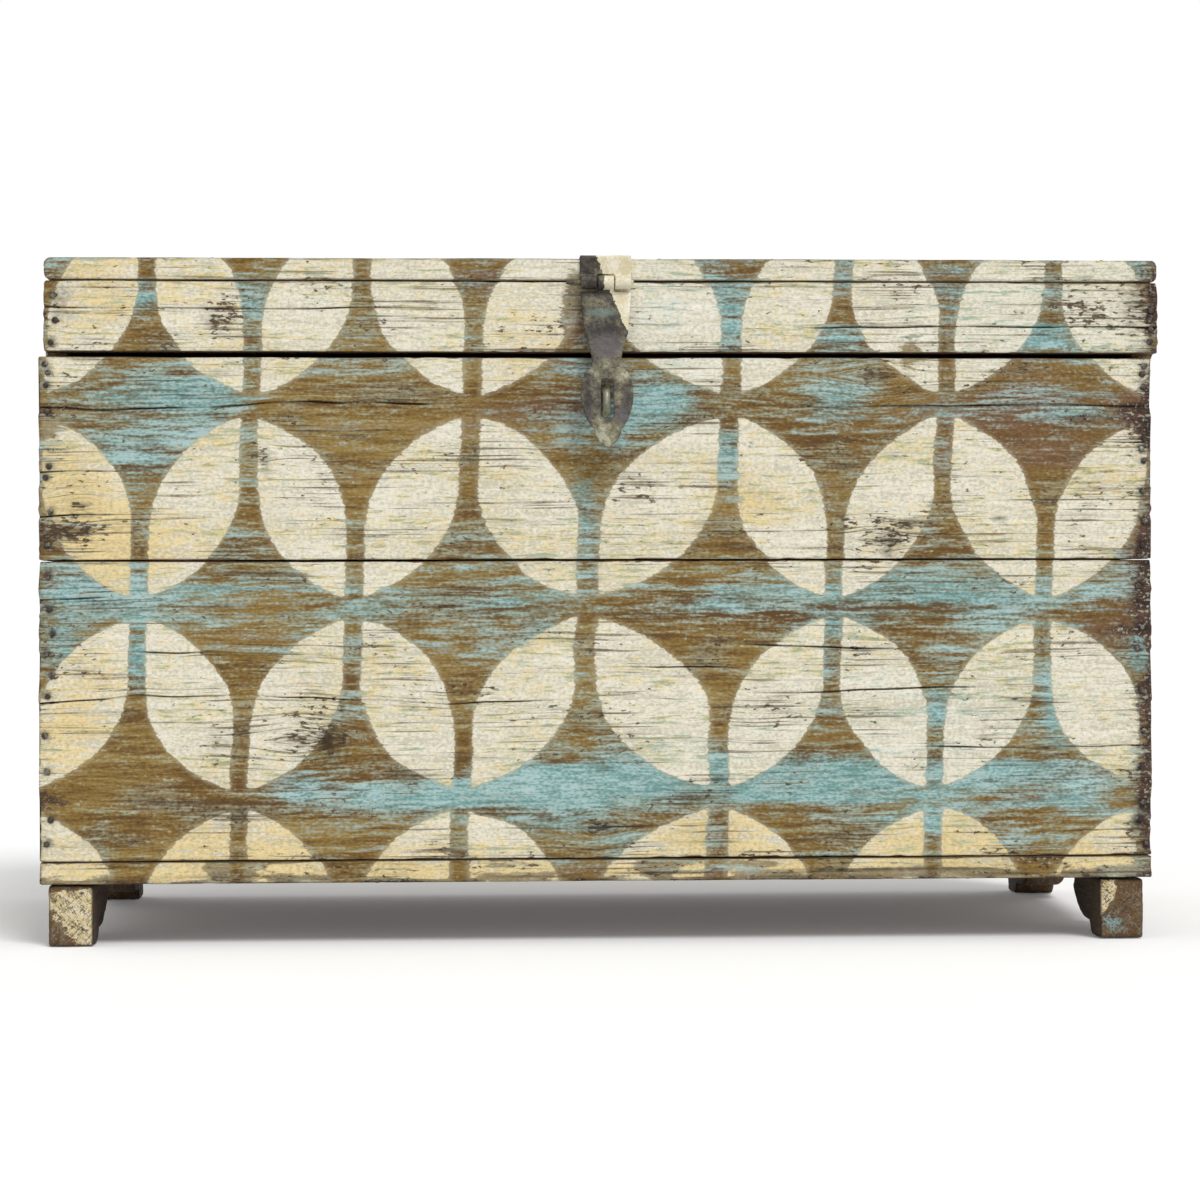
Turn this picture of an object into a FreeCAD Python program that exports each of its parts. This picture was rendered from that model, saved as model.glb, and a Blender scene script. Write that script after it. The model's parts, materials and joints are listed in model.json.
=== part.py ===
# Painted plank trunk: a nailed box on four bracket feet, a shallow framed lid on two
# strap hinges, and a forged hasp that drops over a staple in the front board.
# Millimetres. +X to the right, +Y to the back, +Z up, the front faces -Y.
import FreeCAD, Part
import os

import Sketcher
from FreeCAD import Rotation, Vector

# Driving sizes

SIZES = {
    # box
    "body_width": 1016,
    "body_depth": 470,
    "wall": 20,
    "plank": 21,
    "lower_board": 272,
    "upper_board": 185,
    "arris": 1.5,
    "setback": 8.3,
    # lid
    "lid_oversize": 2,
    "lid_shift": 5.5,
    "lid_rail": 69,
    "lid_gap": 3.6,
    "lid_seat": 0.3,
    "lid_corner": 5,
    "batten_width": 46,
    "batten_thick": 16,
    "batten_spread": 255,
    "batten_room": 1.5,
    # feet
    "foot_height": 56,
    "foot_thick": 42,
    "foot_inset": 7.5,
    "foot_setback": 2,
    "foot_post": 48,
    "foot_toe": 40,
    "foot_heel": 12,
    "foot_belly": 128,
    "foot_belly_height": 39,
    "foot_cusp": 119,
    "foot_cusp_height": 44,
    "foot_reach": 148,
    # back hinges
    "hinge_spread": 300,
    "hinge_width": 66,
    "hinge_leaf": 2.5,
    "hinge_drop": 80,
    "hinge_rise": 56,
    "hinge_knuckle": 6,
    "hinge_room": 0.4,
    "hinge_gap": 0.5,
    "hinge_pin": 2.8,
    "hinge_pin_head": 4.4,
    "hinge_pin_cap": 2,
    "hinge_lip": 13,
    "hinge_lip_thick": 2.5,
    "hinge_corner": 6,
    # hasp
    "hasp_drop": 23,
    "hasp_width": 47,
    "hasp_leaf": 2.5,
    "hasp_flange": 58,
    "hasp_knuckle": 6.5,
    "hasp_room": 0.5,
    "hasp_gap": 0.5,
    "hasp_pin": 2.5,
    "hasp_pin_left": 13,
    "hasp_pin_right": 2,
    "hasp_swing": 12,
    "strap_thick": 3,
    "strap_waist": 40,
    "strap_waist_down": 47,
    "strap_neck": 27,
    "strap_neck_down": 73,
    "shield_shoulder": 39,
    "shield_shoulder_down": 83,
    "shield_width": 48,
    "shield_widest_down": 107,
    "shield_foot": 25,
    "shield_foot_down": 137,
    "shield_tip_down": 154,
    "slot_width": 10.5,
    "slot_height": 35,
    "slot_down": 108,
    # staple
    "staple_wire": 3.7,
    "staple_spread": 20.6,
    "staple_stand": 6.5,
    "staple_clench": 15,
    # nails
    "nail_length": 48,
    "nail_shank": 1.7,
    "nail_head": 3.6,
    "nail_crown": 2.4,
    "nail_rise": 1.2,
    "tack_length": 17,
    "tack_shank": 1.6,
    "tack_head": 3.8,
    "tack_crown": 2.2,
    "tack_rise": 1.6,
    # fits and cuts
    "pin_clearance": 0.05,
    "tack_clearance": 0.2,
    "overrun": 1,
}

# Counts of pieces and of nails in a row
PLANK_COUNT = 3
KNUCKLE_COUNT = 3
LOWER_BOARD_NAIL_COUNT = 7
UPPER_BOARD_NAIL_COUNT = 5
LID_RAIL_NAIL_COUNT = 3
LID_NAIL_COUNT = 10
FLOOR_NAIL_COUNT = 6

# Places as shares of what carries them
TOE_THROUGH_SHARES = (0.70, 0.30)
BELLY_THROUGH_SHARES = (0.66, 0.26)
CUSP_THROUGH_SHARES = (0.46, 0.58)
WAIST_THROUGH_SHARES = (0.66, 0.52)
SHOULDER_THROUGH_SHARES = (0.30, 0.62)
TIP_THROUGH_SHARES = (0.42, 0.72)
FLOOR_ROW_SHARE = 0.8
FOOT_NAIL_SHARES = (0.25, 0.52)
PLANK_NAIL_SHARES = (0.28, 0.72)
HINGE_TACK_SHARES = ((0.22, 0.45), (0.78, 0.45), (0.36, 0.82), (0.64, 0.82))
HASP_TACK_SHARES = ((0.25, 0.42), (0.75, 0.42), (0.5, 0.78))
MIDDLE_SHARE = 0.5
BEND_SHARE = 0.9
NAIL_POINT_SHARE = 0.08
BATTEN_NAIL_SHARE = 0.75

# The front's nails were driven by eye: up each board, and in from its end as a share of the wall
LEFT_LOWER_SHARES = ((0.06, 0.36), (0.14, 0.55), (0.30, 0.40), (0.42, 0.30), (0.55, 0.44),
                     (0.62, 0.62), (0.69, 0.34), (0.76, 0.66), (0.84, 0.52), (0.95, 0.45))
LEFT_UPPER_SHARES = ((0.08, 0.46), (0.24, 0.58), (0.39, 0.33), (0.46, 0.52), (0.73, 0.45),
                     (0.84, 0.30), (0.90, 0.50), (0.96, 0.34))
LEFT_RAIL_SHARES = ((0.13, 0.38), (0.44, 0.58), (0.78, 0.50))
RIGHT_LOWER_SHARES = ((0.04, 0.30), (0.12, 0.56), (0.18, 0.42), (0.30, 0.48), (0.42, 0.38),
                      (0.56, 0.52), (0.70, 0.72), (0.77, 0.47), (0.91, 0.64))
RIGHT_UPPER_SHARES = ((0.07, 0.44), (0.19, 0.36), (0.34, 0.43), (0.47, 0.38), (0.53, 0.50),
                      (0.60, 0.36), (0.84, 0.34), (0.90, 0.54), (0.95, 0.36))
RIGHT_RAIL_SHARES = ((0.12, 0.50), (0.27, 0.34), (0.42, 0.48), (0.58, 0.36), (0.84, 0.28))

doc = FreeCAD.newDocument("trunk")
sheet = doc.addObject("Spreadsheet::Sheet", "Sizes")
for row, (alias, number) in enumerate(SIZES.items(), start=1):
    sheet.set(f"A{row}", alias)
    sheet.set(f"B{row}", str(number))
    sheet.setAlias(f"B{row}", alias)
doc.recompute()


class Size:
    """A length of the sheet, or a sum of such lengths: its number and the expression that gives it."""

    def __init__(self, value, text):
        self.value = value
        self.text = text

    def __add__(self, other):
        other = as_size(other)
        return Size(self.value + other.value, f"({self.text} + {other.text})")

    def __sub__(self, other):
        other = as_size(other)
        return Size(self.value - other.value, f"({self.text} - {other.text})")

    def __mul__(self, factor):
        return Size(self.value * factor, f"({self.text} * {factor})")

    def __truediv__(self, factor):
        return Size(self.value / factor, f"({self.text} / {factor})")

    def __neg__(self):
        return Size(-self.value, f"(0 - {self.text})")


def as_size(number):
    """A size as it is; a plain zero as a size."""
    return number if isinstance(number, Size) else Size(number, str(number))


class Sheet:
    """Each alias of the sheet as a Size."""

    def __getattr__(self, alias):
        return Size(float(sheet.get(alias)), f"Sizes.{alias}")


s = Sheet()

# Levels and faces that the pieces share

front = s.setback - s.body_depth / 2
back = s.setback + s.body_depth / 2
body_left = -s.body_width / 2
body_right = s.body_width / 2
inner_depth = s.body_depth - s.wall * 2
floor_top = s.foot_height + s.plank
seam = floor_top + s.lower_board
rim = seam + s.upper_board
lid_seat = rim + s.lid_seat
lid_shelf = rim + s.lid_rail
lid_top = lid_shelf + s.plank
lid_width = s.body_width + s.lid_oversize
lid_left = s.lid_shift - lid_width / 2
lid_right = s.lid_shift + lid_width / 2
plank_depth = s.body_depth / PLANK_COUNT

hinge_out = s.hinge_knuckle + s.hinge_room
hinge_reach = s.hinge_knuckle + s.hinge_room * 2
hasp_out = s.hasp_knuckle + s.hasp_room
hasp_reach = s.hasp_knuckle + s.hasp_room * 2
hasp_axis_y = front - hasp_out
hasp_axis_z = lid_top - s.hasp_drop

ALONG_X = Rotation(Vector(0, 1, 0), 90)
ALONG_Y = Rotation(Vector(1, 0, 0), -90)
UPRIGHT = Rotation()

pieces = {}


# Helpers

def bind(item, **sizes):
    """Tie properties of a document object to the sheet."""
    for name, size in sizes.items():
        item.setExpression(name, as_size(size).text)


def put(item, x=0, y=0, z=0):
    """Tie the place of a document object to the sheet."""
    for letter, size in zip("xyz", (x, y, z)):
        item.setExpression(f"Placement.Base.{letter}", as_size(size).text)


def new_body(label):
    """An empty body, kept under its node's name."""
    body = doc.addObject("PartDesign::Body", label)
    body.Label = label
    pieces[label] = body
    return body


def block(body, name, corner, size, cut=False):
    """A box added to the body or cut from it."""
    kind = "PartDesign::SubtractiveBox" if cut else "PartDesign::AdditiveBox"
    item = body.newObject(kind, name)
    bind(item, Length=size[0], Width=size[1], Height=size[2])
    put(item, *corner)
    return item


def rod(body, name, start, length, radius, turn, cut=False):
    """A round bar added to the body or cut from it."""
    kind = "PartDesign::SubtractiveCylinder" if cut else "PartDesign::AdditiveCylinder"
    item = body.newObject(kind, name)
    item.Placement.Rotation = turn
    bind(item, Radius=radius, Height=length)
    put(item, *start)
    return item


def ball(body, name, centre, radius):
    """A round elbow added to the body."""
    item = body.newObject("PartDesign::AdditiveSphere", name)
    bind(item, Radius=radius)
    put(item, *centre)
    return item


def edges_on(feature, axis, high):
    """Names of the edges that lie in a feature's lowest or highest plane across an axis."""
    box = feature.Shape.BoundBox
    level = ((box.XMin, box.YMin, box.ZMin), (box.XMax, box.YMax, box.ZMax))[high][axis]
    names = []
    for number, edge in enumerate(feature.Shape.Edges, start=1):
        span = edge.BoundBox
        low = (span.XMin, span.YMin, span.ZMin)[axis]
        top = (span.XMax, span.YMax, span.ZMax)[axis]
        if max(abs(low - level), abs(top - level)) < Part.Precision.confusion():
            names.append(f"Edge{number}")
    return names


def round_edges(body, feature, name, names, radius):
    """A rounded edge along each named edge."""
    item = body.newObject("PartDesign::Fillet", name)
    item.Base = (feature, names)
    bind(item, Radius=radius)
    return item


def origin_plane(body, role):
    """One of the body's own origin planes."""
    return next(item for item in body.Origin.OriginFeatures if item.Role == role)


def sketch_on(body, role, name):
    """A sketch on one of the body's own origin planes."""
    sketch = body.newObject("Sketcher::SketchObject", name)
    sketch.AttachmentSupport = [(origin_plane(body, role), "")]
    sketch.MapMode = "FlatFace"
    return sketch


def flat(point):
    """A pair of sizes as a point of a sketch."""
    return Vector(as_size(point[0]).value, as_size(point[1]).value, 0)


def pin_point(sketch, curve, vertex, point):
    """Hold a sketch point at a pair of sizes from the sketch's origin."""
    for kind, axis_line, size in (("DistanceX", -2, point[0]), ("DistanceY", -1, point[1])):
        if as_size(size).value == 0:
            sketch.addConstraint(Sketcher.Constraint("PointOnObject", curve, vertex, axis_line))
            continue
        rule = Sketcher.Constraint(kind, -1, 1, curve, vertex, size.value)
        number = sketch.addConstraint(rule)
        sketch.setExpression(f"Constraints[{number}]", size.text)


def draw_outline(sketch, corners):
    """A closed outline. A corner is a pair of sizes; a pair of pairs is a point that the arc to
    the next corner passes through, followed by that corner."""
    start = corners[0]
    legs = [leg if isinstance(leg[0], tuple) else (None, leg) for leg in corners[1:]]
    legs.append((None, start))
    here = start
    first = previous = None
    for through, end in legs:
        if through:
            curve = sketch.addGeometry(Part.Arc(flat(here), flat(through), flat(end)), False)
        else:
            curve = sketch.addGeometry(Part.LineSegment(flat(here), flat(end)), False)
        forward = sketch.getPoint(curve, 1).isEqual(flat(here), Part.Precision.confusion())
        begin, finish = (1, 2) if forward else (2, 1)
        if previous:
            sketch.addConstraint(Sketcher.Constraint("Coincident", *previous, curve, begin))
        else:
            first = (curve, begin)
        pin_point(sketch, curve, begin, here)
        if through:
            mark = sketch.addGeometry(Part.Point(flat(through)), True)
            pin_point(sketch, mark, 1, through)
            sketch.addConstraint(Sketcher.Constraint("PointOnObject", mark, 1, curve))
        previous = (curve, finish)
        here = end
    sketch.addConstraint(Sketcher.Constraint("Coincident", *previous, *first))


def between(start, end, shares):
    """A point at a share of the way across and a share of the way up between two points."""
    across = as_size(start[0]) + (as_size(end[0]) - start[0]) * shares[0]
    up = as_size(start[1]) + (as_size(end[1]) - start[1]) * shares[1]
    return (across, up)


def pad(body, sketch, name, length, middle=False):
    """A sketch drawn out to a solid."""
    item = body.newObject("PartDesign::Pad", name)
    item.Profile = sketch
    item.Midplane = middle
    bind(item, Length=length)
    return item


# Boards of the box, the floor and the lid

def board(label, corner, size, worn_face, worn_high, end_round=None):
    """A plank with the edges of its outer face worn round."""
    body = new_body(label)
    plank = block(body, "plank_" + label, (0, 0, 0), size)
    put(body, *corner)
    doc.recompute()
    worn = edges_on(plank, worn_face, worn_high)
    if end_round:
        ends = [name for name in worn if name in edges_on(plank, 0, False) + edges_on(plank, 0, True)]
        worn = [name for name in worn if name not in ends]
        plank = round_edges(body, plank, "ends_" + label, ends, end_round)
        doc.recompute()
        worn = [name for name in edges_on(plank, worn_face, worn_high) if long_edge(plank, name)]
    round_edges(body, plank, "arris_" + label, worn, s.arris)


def long_edge(feature, name):
    """True for an edge that runs along X."""
    span = feature.Shape.getElement(name).BoundBox
    return span.XLength > span.YLength


for place, face, outer in (("front", front, False), ("back", back - s.wall, True)):
    lower = (s.body_width, s.wall, s.lower_board)
    upper = (s.body_width, s.wall, s.upper_board)
    board(f"{place}_board_lower", (body_left, face, floor_top), lower, 1, outer)
    board(f"{place}_board_upper", (body_left, face, seam), upper, 1, outer)
for side, edge, outer in (("left", body_left, False), ("right", body_right - s.wall, True)):
    lower = (s.wall, inner_depth, s.lower_board)
    upper = (s.wall, inner_depth, s.upper_board)
    board(f"{side}_end_board_lower", (edge, front + s.wall, floor_top), lower, 0, outer)
    board(f"{side}_end_board_upper", (edge, front + s.wall, seam), upper, 0, outer)

for number, place in enumerate(("front", "middle", "rear")):
    depth = front + plank_depth * number
    floor_size = (s.body_width, plank_depth, s.plank)
    lid_size = (lid_width, plank_depth, s.plank)
    board(f"floor_plank_{place}", (body_left, depth, s.foot_height), floor_size, 2, False)
    board(f"lid_plank_{place}", (lid_left, depth, lid_shelf), lid_size, 2, True, s.lid_corner)

front_rail = (lid_width, s.wall, s.lid_rail - s.lid_gap)
back_rail = (lid_width, s.wall, s.lid_rail - s.lid_seat)
side_rail = (s.wall, inner_depth, s.lid_rail - s.lid_seat)
board("lid_front_rail", (lid_left, front, rim + s.lid_gap), front_rail, 1, False)
board("lid_back_rail", (lid_left, back - s.wall, lid_seat), back_rail, 1, True)
for side, edge, outer in (("left", lid_left, False), ("right", lid_right - s.wall, True)):
    board(f"lid_{side}_rail", (edge, front + s.wall, lid_seat), side_rail, 0, outer)

batten_length = inner_depth - s.batten_room * 2
for side, direction in (("left", -1), ("right", 1)):
    middle = s.lid_shift + s.batten_spread * direction
    corner = (middle - s.batten_width / 2, front + s.wall + s.batten_room, lid_shelf - s.batten_thick)
    board(f"lid_batten_{side}", corner, (s.batten_width, batten_length, s.batten_thick), 2, False)


# Bracket feet

def foot(label, x, y, turned):
    """A bracket foot: an upright post whose bracket sweeps back under the floor."""
    body = new_body(label)
    sketch = sketch_on(body, "YZ_Plane", "profile_" + label)
    heel = (s.foot_post, s.foot_heel)
    belly = (s.foot_belly, s.foot_belly_height)
    cusp = (s.foot_cusp, s.foot_cusp_height)
    reach = (s.foot_reach, s.foot_height)
    toe = (s.foot_toe, 0)
    draw_outline(sketch, [
        (0, 0),
        toe,
        (between(toe, heel, TOE_THROUGH_SHARES), heel),
        (between(heel, belly, BELLY_THROUGH_SHARES), belly),
        cusp,
        (between(cusp, reach, CUSP_THROUGH_SHARES), reach),
        (0, s.foot_height),
    ])
    pad(body, sketch, "bracket_" + label, s.foot_thick, middle=True)
    body.Placement.Rotation = Rotation(Vector(0, 0, 1), 180 if turned else 0)
    put(body, x, y, 0)


foot_left = body_left + s.foot_inset + s.foot_thick / 2
foot_right = body_right - s.foot_inset - s.foot_thick / 2
foot_front = front + s.foot_setback
foot_back = back - s.foot_setback
for side, x in (("left", foot_left), ("right", foot_right)):
    foot(f"foot_front_{side}", x, foot_front, False)
    foot(f"foot_rear_{side}", x, foot_back, True)


# Hinges at the back

def knuckle_row(width, gap):
    """The start and length of each knuckle along a barrel that is centred on its hinge."""
    pitch = width / KNUCKLE_COUNT
    return [(-width / 2 + pitch * number + gap / 2, pitch - gap) for number in range(KNUCKLE_COUNT)]


def hinge_leaf(label, x, on_lid):
    """One leaf of a back hinge: plate, knuckles, bore and nail holes, from the pin's middle."""
    body = new_body(label)
    face = -hinge_out
    height = s.hinge_rise if on_lid else s.hinge_drop
    foot_z = hinge_reach if on_lid else -height
    plate = block(body, "plate_" + label, (-s.hinge_width / 2, face, foot_z),
                  (s.hinge_width, s.hinge_leaf, height - hinge_reach))
    doc.recompute()
    sides = edges_on(plate, 0, False) + edges_on(plate, 0, True)
    far_corners = [name for name in edges_on(plate, 2, on_lid) if name in sides]
    round_edges(body, plate, "corner_" + label, far_corners, s.hinge_corner)
    for number, (start, length) in enumerate(knuckle_row(s.hinge_width, s.hinge_gap)):
        if (number % 2 == 1) != on_lid:
            continue
        tab_z = 0 if on_lid else -hinge_reach
        block(body, f"tab_{number}_{label}", (start, face, tab_z), (length, s.hinge_leaf, hinge_reach))
        rod(body, f"knuckle_{number}_{label}", (start, 0, 0), length, s.hinge_knuckle, ALONG_X)
        if on_lid:
            block(body, "lip_" + label, (start, 0, 0), (length, s.hinge_lip, s.hinge_lip_thick))
    bore_radius = s.hinge_pin + s.pin_clearance
    rod(body, "bore_" + label, (-s.hinge_width / 2 - s.overrun, 0, 0), s.hinge_width + s.overrun * 2,
        bore_radius, ALONG_X, cut=True)
    for number, (across, down) in enumerate(hinge_tack_places(height)):
        level = down if on_lid else -down
        start = (across, face - s.overrun, level)
        rod(body, f"hole_{number}_{label}", start, s.hinge_leaf + s.overrun * 2,
            s.tack_shank + s.tack_clearance, ALONG_Y, cut=True)
    put(body, x, back + hinge_out, rim)


def hinge_tack_places(height):
    """Where the nails of a hinge leaf stand, from the pin's middle."""
    places = []
    for across, down in HINGE_TACK_SHARES:
        level = hinge_reach + (height - hinge_reach) * down
        places.append((s.hinge_width * (across - MIDDLE_SHARE), level))
    return places


hinge_places = {"left": -s.hinge_spread, "right": s.hinge_spread}
for side, x in hinge_places.items():
    hinge_leaf(f"hinge_body_leaf_{side}", x, False)
    hinge_leaf(f"hinge_lid_leaf_{side}", x, True)
    pin = new_body(f"hinge_pin_{side}")
    rod(pin, f"shank_{side}", (-s.hinge_width / 2, 0, 0), s.hinge_width, s.hinge_pin, ALONG_X)
    rod(pin, f"cap_left_{side}", (-s.hinge_width / 2 - s.hinge_pin_cap + s.hinge_gap / 2, 0, 0),
        s.hinge_pin_cap, s.hinge_pin_head, ALONG_X)
    rod(pin, f"cap_right_{side}", (s.hinge_width / 2 - s.hinge_gap / 2, 0, 0),
        s.hinge_pin_cap, s.hinge_pin_head, ALONG_X)
    put(pin, x, back + hinge_out, rim)


# Hasp on the lid's front edge

def hasp_leaf():
    """The fixed leaf: bent over the lid's edge, with the two outer knuckles."""
    body = new_body("hasp_leaf")
    sketch = sketch_on(body, "YZ_Plane", "leaf_profile")
    face = hasp_out
    near = hasp_out - s.hasp_leaf
    top = s.hasp_drop
    draw_outline(sketch, [
        (near, 0),
        (face, 0),
        (face, top),
        (face + s.hasp_flange, top),
        (face + s.hasp_flange, top + s.hasp_leaf),
        (near, top + s.hasp_leaf),
    ])
    leaf = pad(body, sketch, "bent_leaf", s.hasp_width, middle=True)
    doc.recompute()
    bend = [name for name in edges_on(leaf, 1, False) if name in edges_on(leaf, 2, True)]
    round_edges(body, leaf, "bend", bend, s.hasp_leaf * BEND_SHARE)
    knuckles = knuckle_row(s.hasp_width, s.hasp_gap)
    start, length = knuckles[1]
    block(body, "knuckle_notch", (start - s.hasp_gap, 0, -s.overrun),
          (length + s.hasp_gap * 2, hasp_out + s.overrun, hasp_reach + s.overrun), cut=True)
    for number, (start, length) in enumerate(knuckles):
        if number % 2 == 0:
            rod(body, f"leaf_knuckle_{number}", (start, 0, 0), length, s.hasp_knuckle, ALONG_X)
    rod(body, "leaf_bore", (-s.hasp_width / 2 - s.overrun, 0, 0), s.hasp_width + s.overrun * 2,
        s.hasp_pin + s.pin_clearance, ALONG_X, cut=True)
    for number, (across, along) in enumerate(hasp_tack_places()):
        start = (across, face + along, top - s.overrun)
        rod(body, f"leaf_hole_{number}", start, s.hasp_leaf + s.overrun * 2,
            s.tack_shank + s.tack_clearance, UPRIGHT, cut=True)
    put(body, s.lid_shift, hasp_axis_y, hasp_axis_z)


def hasp_tack_places():
    """Where the nails of the hasp's fixed leaf stand: across it, and back from the lid's front face."""
    return [(s.hasp_width * (across - MIDDLE_SHARE), s.hasp_flange * along)
            for across, along in HASP_TACK_SHARES]


def hasp_strap():
    """The swinging strap. Its own Y runs down the strap from the pin, its own Z to the board."""
    body = new_body("hasp_strap")
    sketch = sketch_on(body, "XY_Plane", "strap_outline")
    waist = (s.strap_waist / 2, s.strap_waist_down)
    neck = (s.strap_neck / 2, s.strap_neck_down)
    shoulder = (s.shield_shoulder / 2, s.shield_shoulder_down)
    widest = (s.shield_width / 2, s.shield_widest_down)
    shield_foot = (s.shield_foot / 2, s.shield_foot_down)
    tip = (0, s.shield_tip_down)
    draw_outline(sketch, [
        (0, hasp_reach),
        (s.hasp_width / 2, hasp_reach),
        waist,
        (between(waist, neck, WAIST_THROUGH_SHARES), neck),
        (between(neck, shoulder, SHOULDER_THROUGH_SHARES), shoulder),
        (widest, shield_foot),
        (between(shield_foot, tip, TIP_THROUGH_SHARES), tip),
    ])
    outer_face = hasp_out - s.hasp_room * 2 - s.strap_thick
    sketch.setExpression("AttachmentOffset.Base.z", outer_face.text)
    half = pad(body, sketch, "half_strap", s.strap_thick)
    whole = body.newObject("PartDesign::Mirrored", "whole_strap")
    whole.Originals = [half]
    whole.MirrorPlane = (origin_plane(body, "YZ_Plane"), [""])
    body.Tip = whole
    doc.recompute()
    start, length = knuckle_row(s.hasp_width, s.hasp_gap)[1]
    block(body, "strap_tab", (start, 0, outer_face), (length, hasp_reach + s.overrun, s.strap_thick))
    rod(body, "strap_knuckle", (start, 0, 0), length, s.hasp_knuckle, ALONG_X)
    rod(body, "strap_bore", (start - s.overrun, 0, 0), length + s.overrun * 2,
        s.hasp_pin + s.pin_clearance, ALONG_X, cut=True)
    block(body, "slot", (-s.slot_width / 2, s.slot_down - s.slot_height / 2, 0),
          (s.slot_width, s.slot_height, hasp_out), cut=True)
    body.Placement.Rotation = Rotation(Vector(1, 0, 0), -90)
    body.setExpression("Placement.Rotation.Angle", f"-90 - {s.hasp_swing.text}")
    put(body, s.lid_shift, hasp_axis_y, hasp_axis_z)


hasp_leaf()
hasp_strap()
hasp_pin = new_body("hasp_pin")
rod(hasp_pin, "hasp_pin_shank", (-s.hasp_width / 2 - s.hasp_pin_left, 0, 0),
    s.hasp_width + s.hasp_pin_left + s.hasp_pin_right, s.hasp_pin, ALONG_X)
put(hasp_pin, s.lid_shift, hasp_axis_y, hasp_axis_z)


# Staple in the front board

def hasp_staple():
    """A bent wire loop in an upright plane, its two legs through the board and clenched behind it."""
    body = new_body("hasp_staple")
    loop = body.newObject("PartDesign::AdditiveTorus", "loop")
    loop.Angle3 = 180
    loop.Placement.Rotation = Rotation(Vector(0, 0, 1), Vector(0, -1, 0), Vector(1, 0, 0), "XYZ")
    bind(loop, Radius1=s.staple_spread / 2, Radius2=s.staple_wire)
    put(loop, 0, -s.staple_stand, 0)
    elbow = s.wall + s.staple_wire
    for name, direction in (("upper", 1), ("lower", -1)):
        level = s.staple_spread / 2 * direction
        start = (0, -s.staple_stand, level)
        rod(body, f"leg_{name}", start, s.staple_stand + elbow, s.staple_wire, ALONG_Y)
        ball(body, f"elbow_{name}", (0, elbow, level), s.staple_wire)
        turn = UPRIGHT if direction > 0 else Rotation(Vector(1, 0, 0), 180)
        rod(body, f"clench_{name}", (0, elbow, level), s.staple_clench, s.staple_wire, turn)
    put(body, s.lid_shift, front, hasp_axis_z - s.slot_down)


hasp_staple()


# Nails

def nail(length, shank, head, crown, rise):
    """A nail standing on the origin, its shank pointing down to a tapered end."""
    point = length * NAIL_POINT_SHARE
    body = Part.makeCylinder(shank, length - point, Vector(0, 0, point - length))
    tip = Part.makeCone(0, shank, point, Vector(0, 0, -length))
    cap = Part.makeCone(head, crown, rise)
    return body.fuse([tip, cap]).removeSplitter()


def nail_group(label, places, outwards, kind, length=None):
    """Separate nails of one kind in one node. Each stands at its place, its head pointing outwards."""
    length = length.value if length else sheet.get(kind + "_length")
    shape = nail(length, *[sheet.get(f"{kind}_{part}") for part in ("shank", "head", "crown", "rise")])
    turn = Rotation(Vector(0, 0, 1), outwards)
    nails = []
    for x, y, z in places:
        one = shape.copy()
        stand = Vector(as_size(x).value, as_size(y).value, as_size(z).value)
        one.Placement = FreeCAD.Placement(stand, turn)
        nails.append(one)
    group = doc.addObject("Part::Feature", label)
    group.Label = label
    group.Shape = Part.makeCompound(nails)
    pieces[label] = group


def spread(low, high, count):
    """Places evenly spread over a stretch, half a step in from its ends."""
    step = (as_size(high) - low) / count
    return [as_size(low) + step * (number + MIDDLE_SHARE) for number in range(count)]


FRONTWARDS = Vector(0, -1, 0)
BACKWARDS = Vector(0, 1, 0)
UPWARDS = Vector(0, 0, 1)
DOWNWARDS = Vector(0, 0, -1)

wall_levels = spread(floor_top, seam, LOWER_BOARD_NAIL_COUNT) + spread(seam, rim, UPPER_BOARD_NAIL_COUNT)
wall_columns = (body_left + s.wall / 2, body_right - s.wall / 2)
lid_levels = spread(rim + s.lid_gap, lid_shelf, LID_RAIL_NAIL_COUNT)
lid_columns = (lid_left + s.wall / 2, lid_right - s.wall / 2)
nail_group("back_nails", [(x, back, z) for x in wall_columns for z in wall_levels], BACKWARDS, "nail")
nail_group("lid_back_nails", [(x, back, z) for x in lid_columns for z in lid_levels], BACKWARDS, "nail")


def end_nails(end, inwards, bottom, top, shares):
    """Nails up one end of a front board, from the shares that they were driven at."""
    return [(end + s.wall * across * inwards, front, bottom + (top - bottom) * up)
            for up, across in shares]


front_spots = end_nails(body_left, 1, floor_top, seam, LEFT_LOWER_SHARES)
front_spots += end_nails(body_left, 1, seam, rim, LEFT_UPPER_SHARES)
front_spots += end_nails(body_right, -1, floor_top, seam, RIGHT_LOWER_SHARES)
front_spots += end_nails(body_right, -1, seam, rim, RIGHT_UPPER_SHARES)
nail_group("front_nails", front_spots, FRONTWARDS, "nail")
rail_spots = end_nails(lid_left, 1, rim + s.lid_gap, lid_shelf, LEFT_RAIL_SHARES)
rail_spots += end_nails(lid_right, -1, rim + s.lid_gap, lid_shelf, RIGHT_RAIL_SHARES)
nail_group("lid_front_nails", rail_spots, FRONTWARDS, "nail")

plank_rows = [front + plank_depth * (number + share)
              for number in range(PLANK_COUNT) for share in PLANK_NAIL_SHARES]
rail_rows = (front + s.wall / 2, back - s.wall / 2)
inner_rows = plank_rows[1:-1]

lid_spots = [(x, y, lid_top) for y in rail_rows for x in spread(lid_left, lid_right, LID_NAIL_COUNT)]
lid_spots += [(x, y, lid_top) for y in inner_rows for x in lid_columns]
nail_group("lid_top_nails", lid_spots, UPWARDS, "nail")

batten_columns = [s.lid_shift + s.batten_spread * direction for direction in (-1, 1)]
batten_spots = [(x, y, lid_top) for y in inner_rows for x in batten_columns]
batten_nail_length = s.plank + s.batten_thick * BATTEN_NAIL_SHARE
nail_group("lid_batten_nails", batten_spots, UPWARDS, "nail", batten_nail_length)

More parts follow.
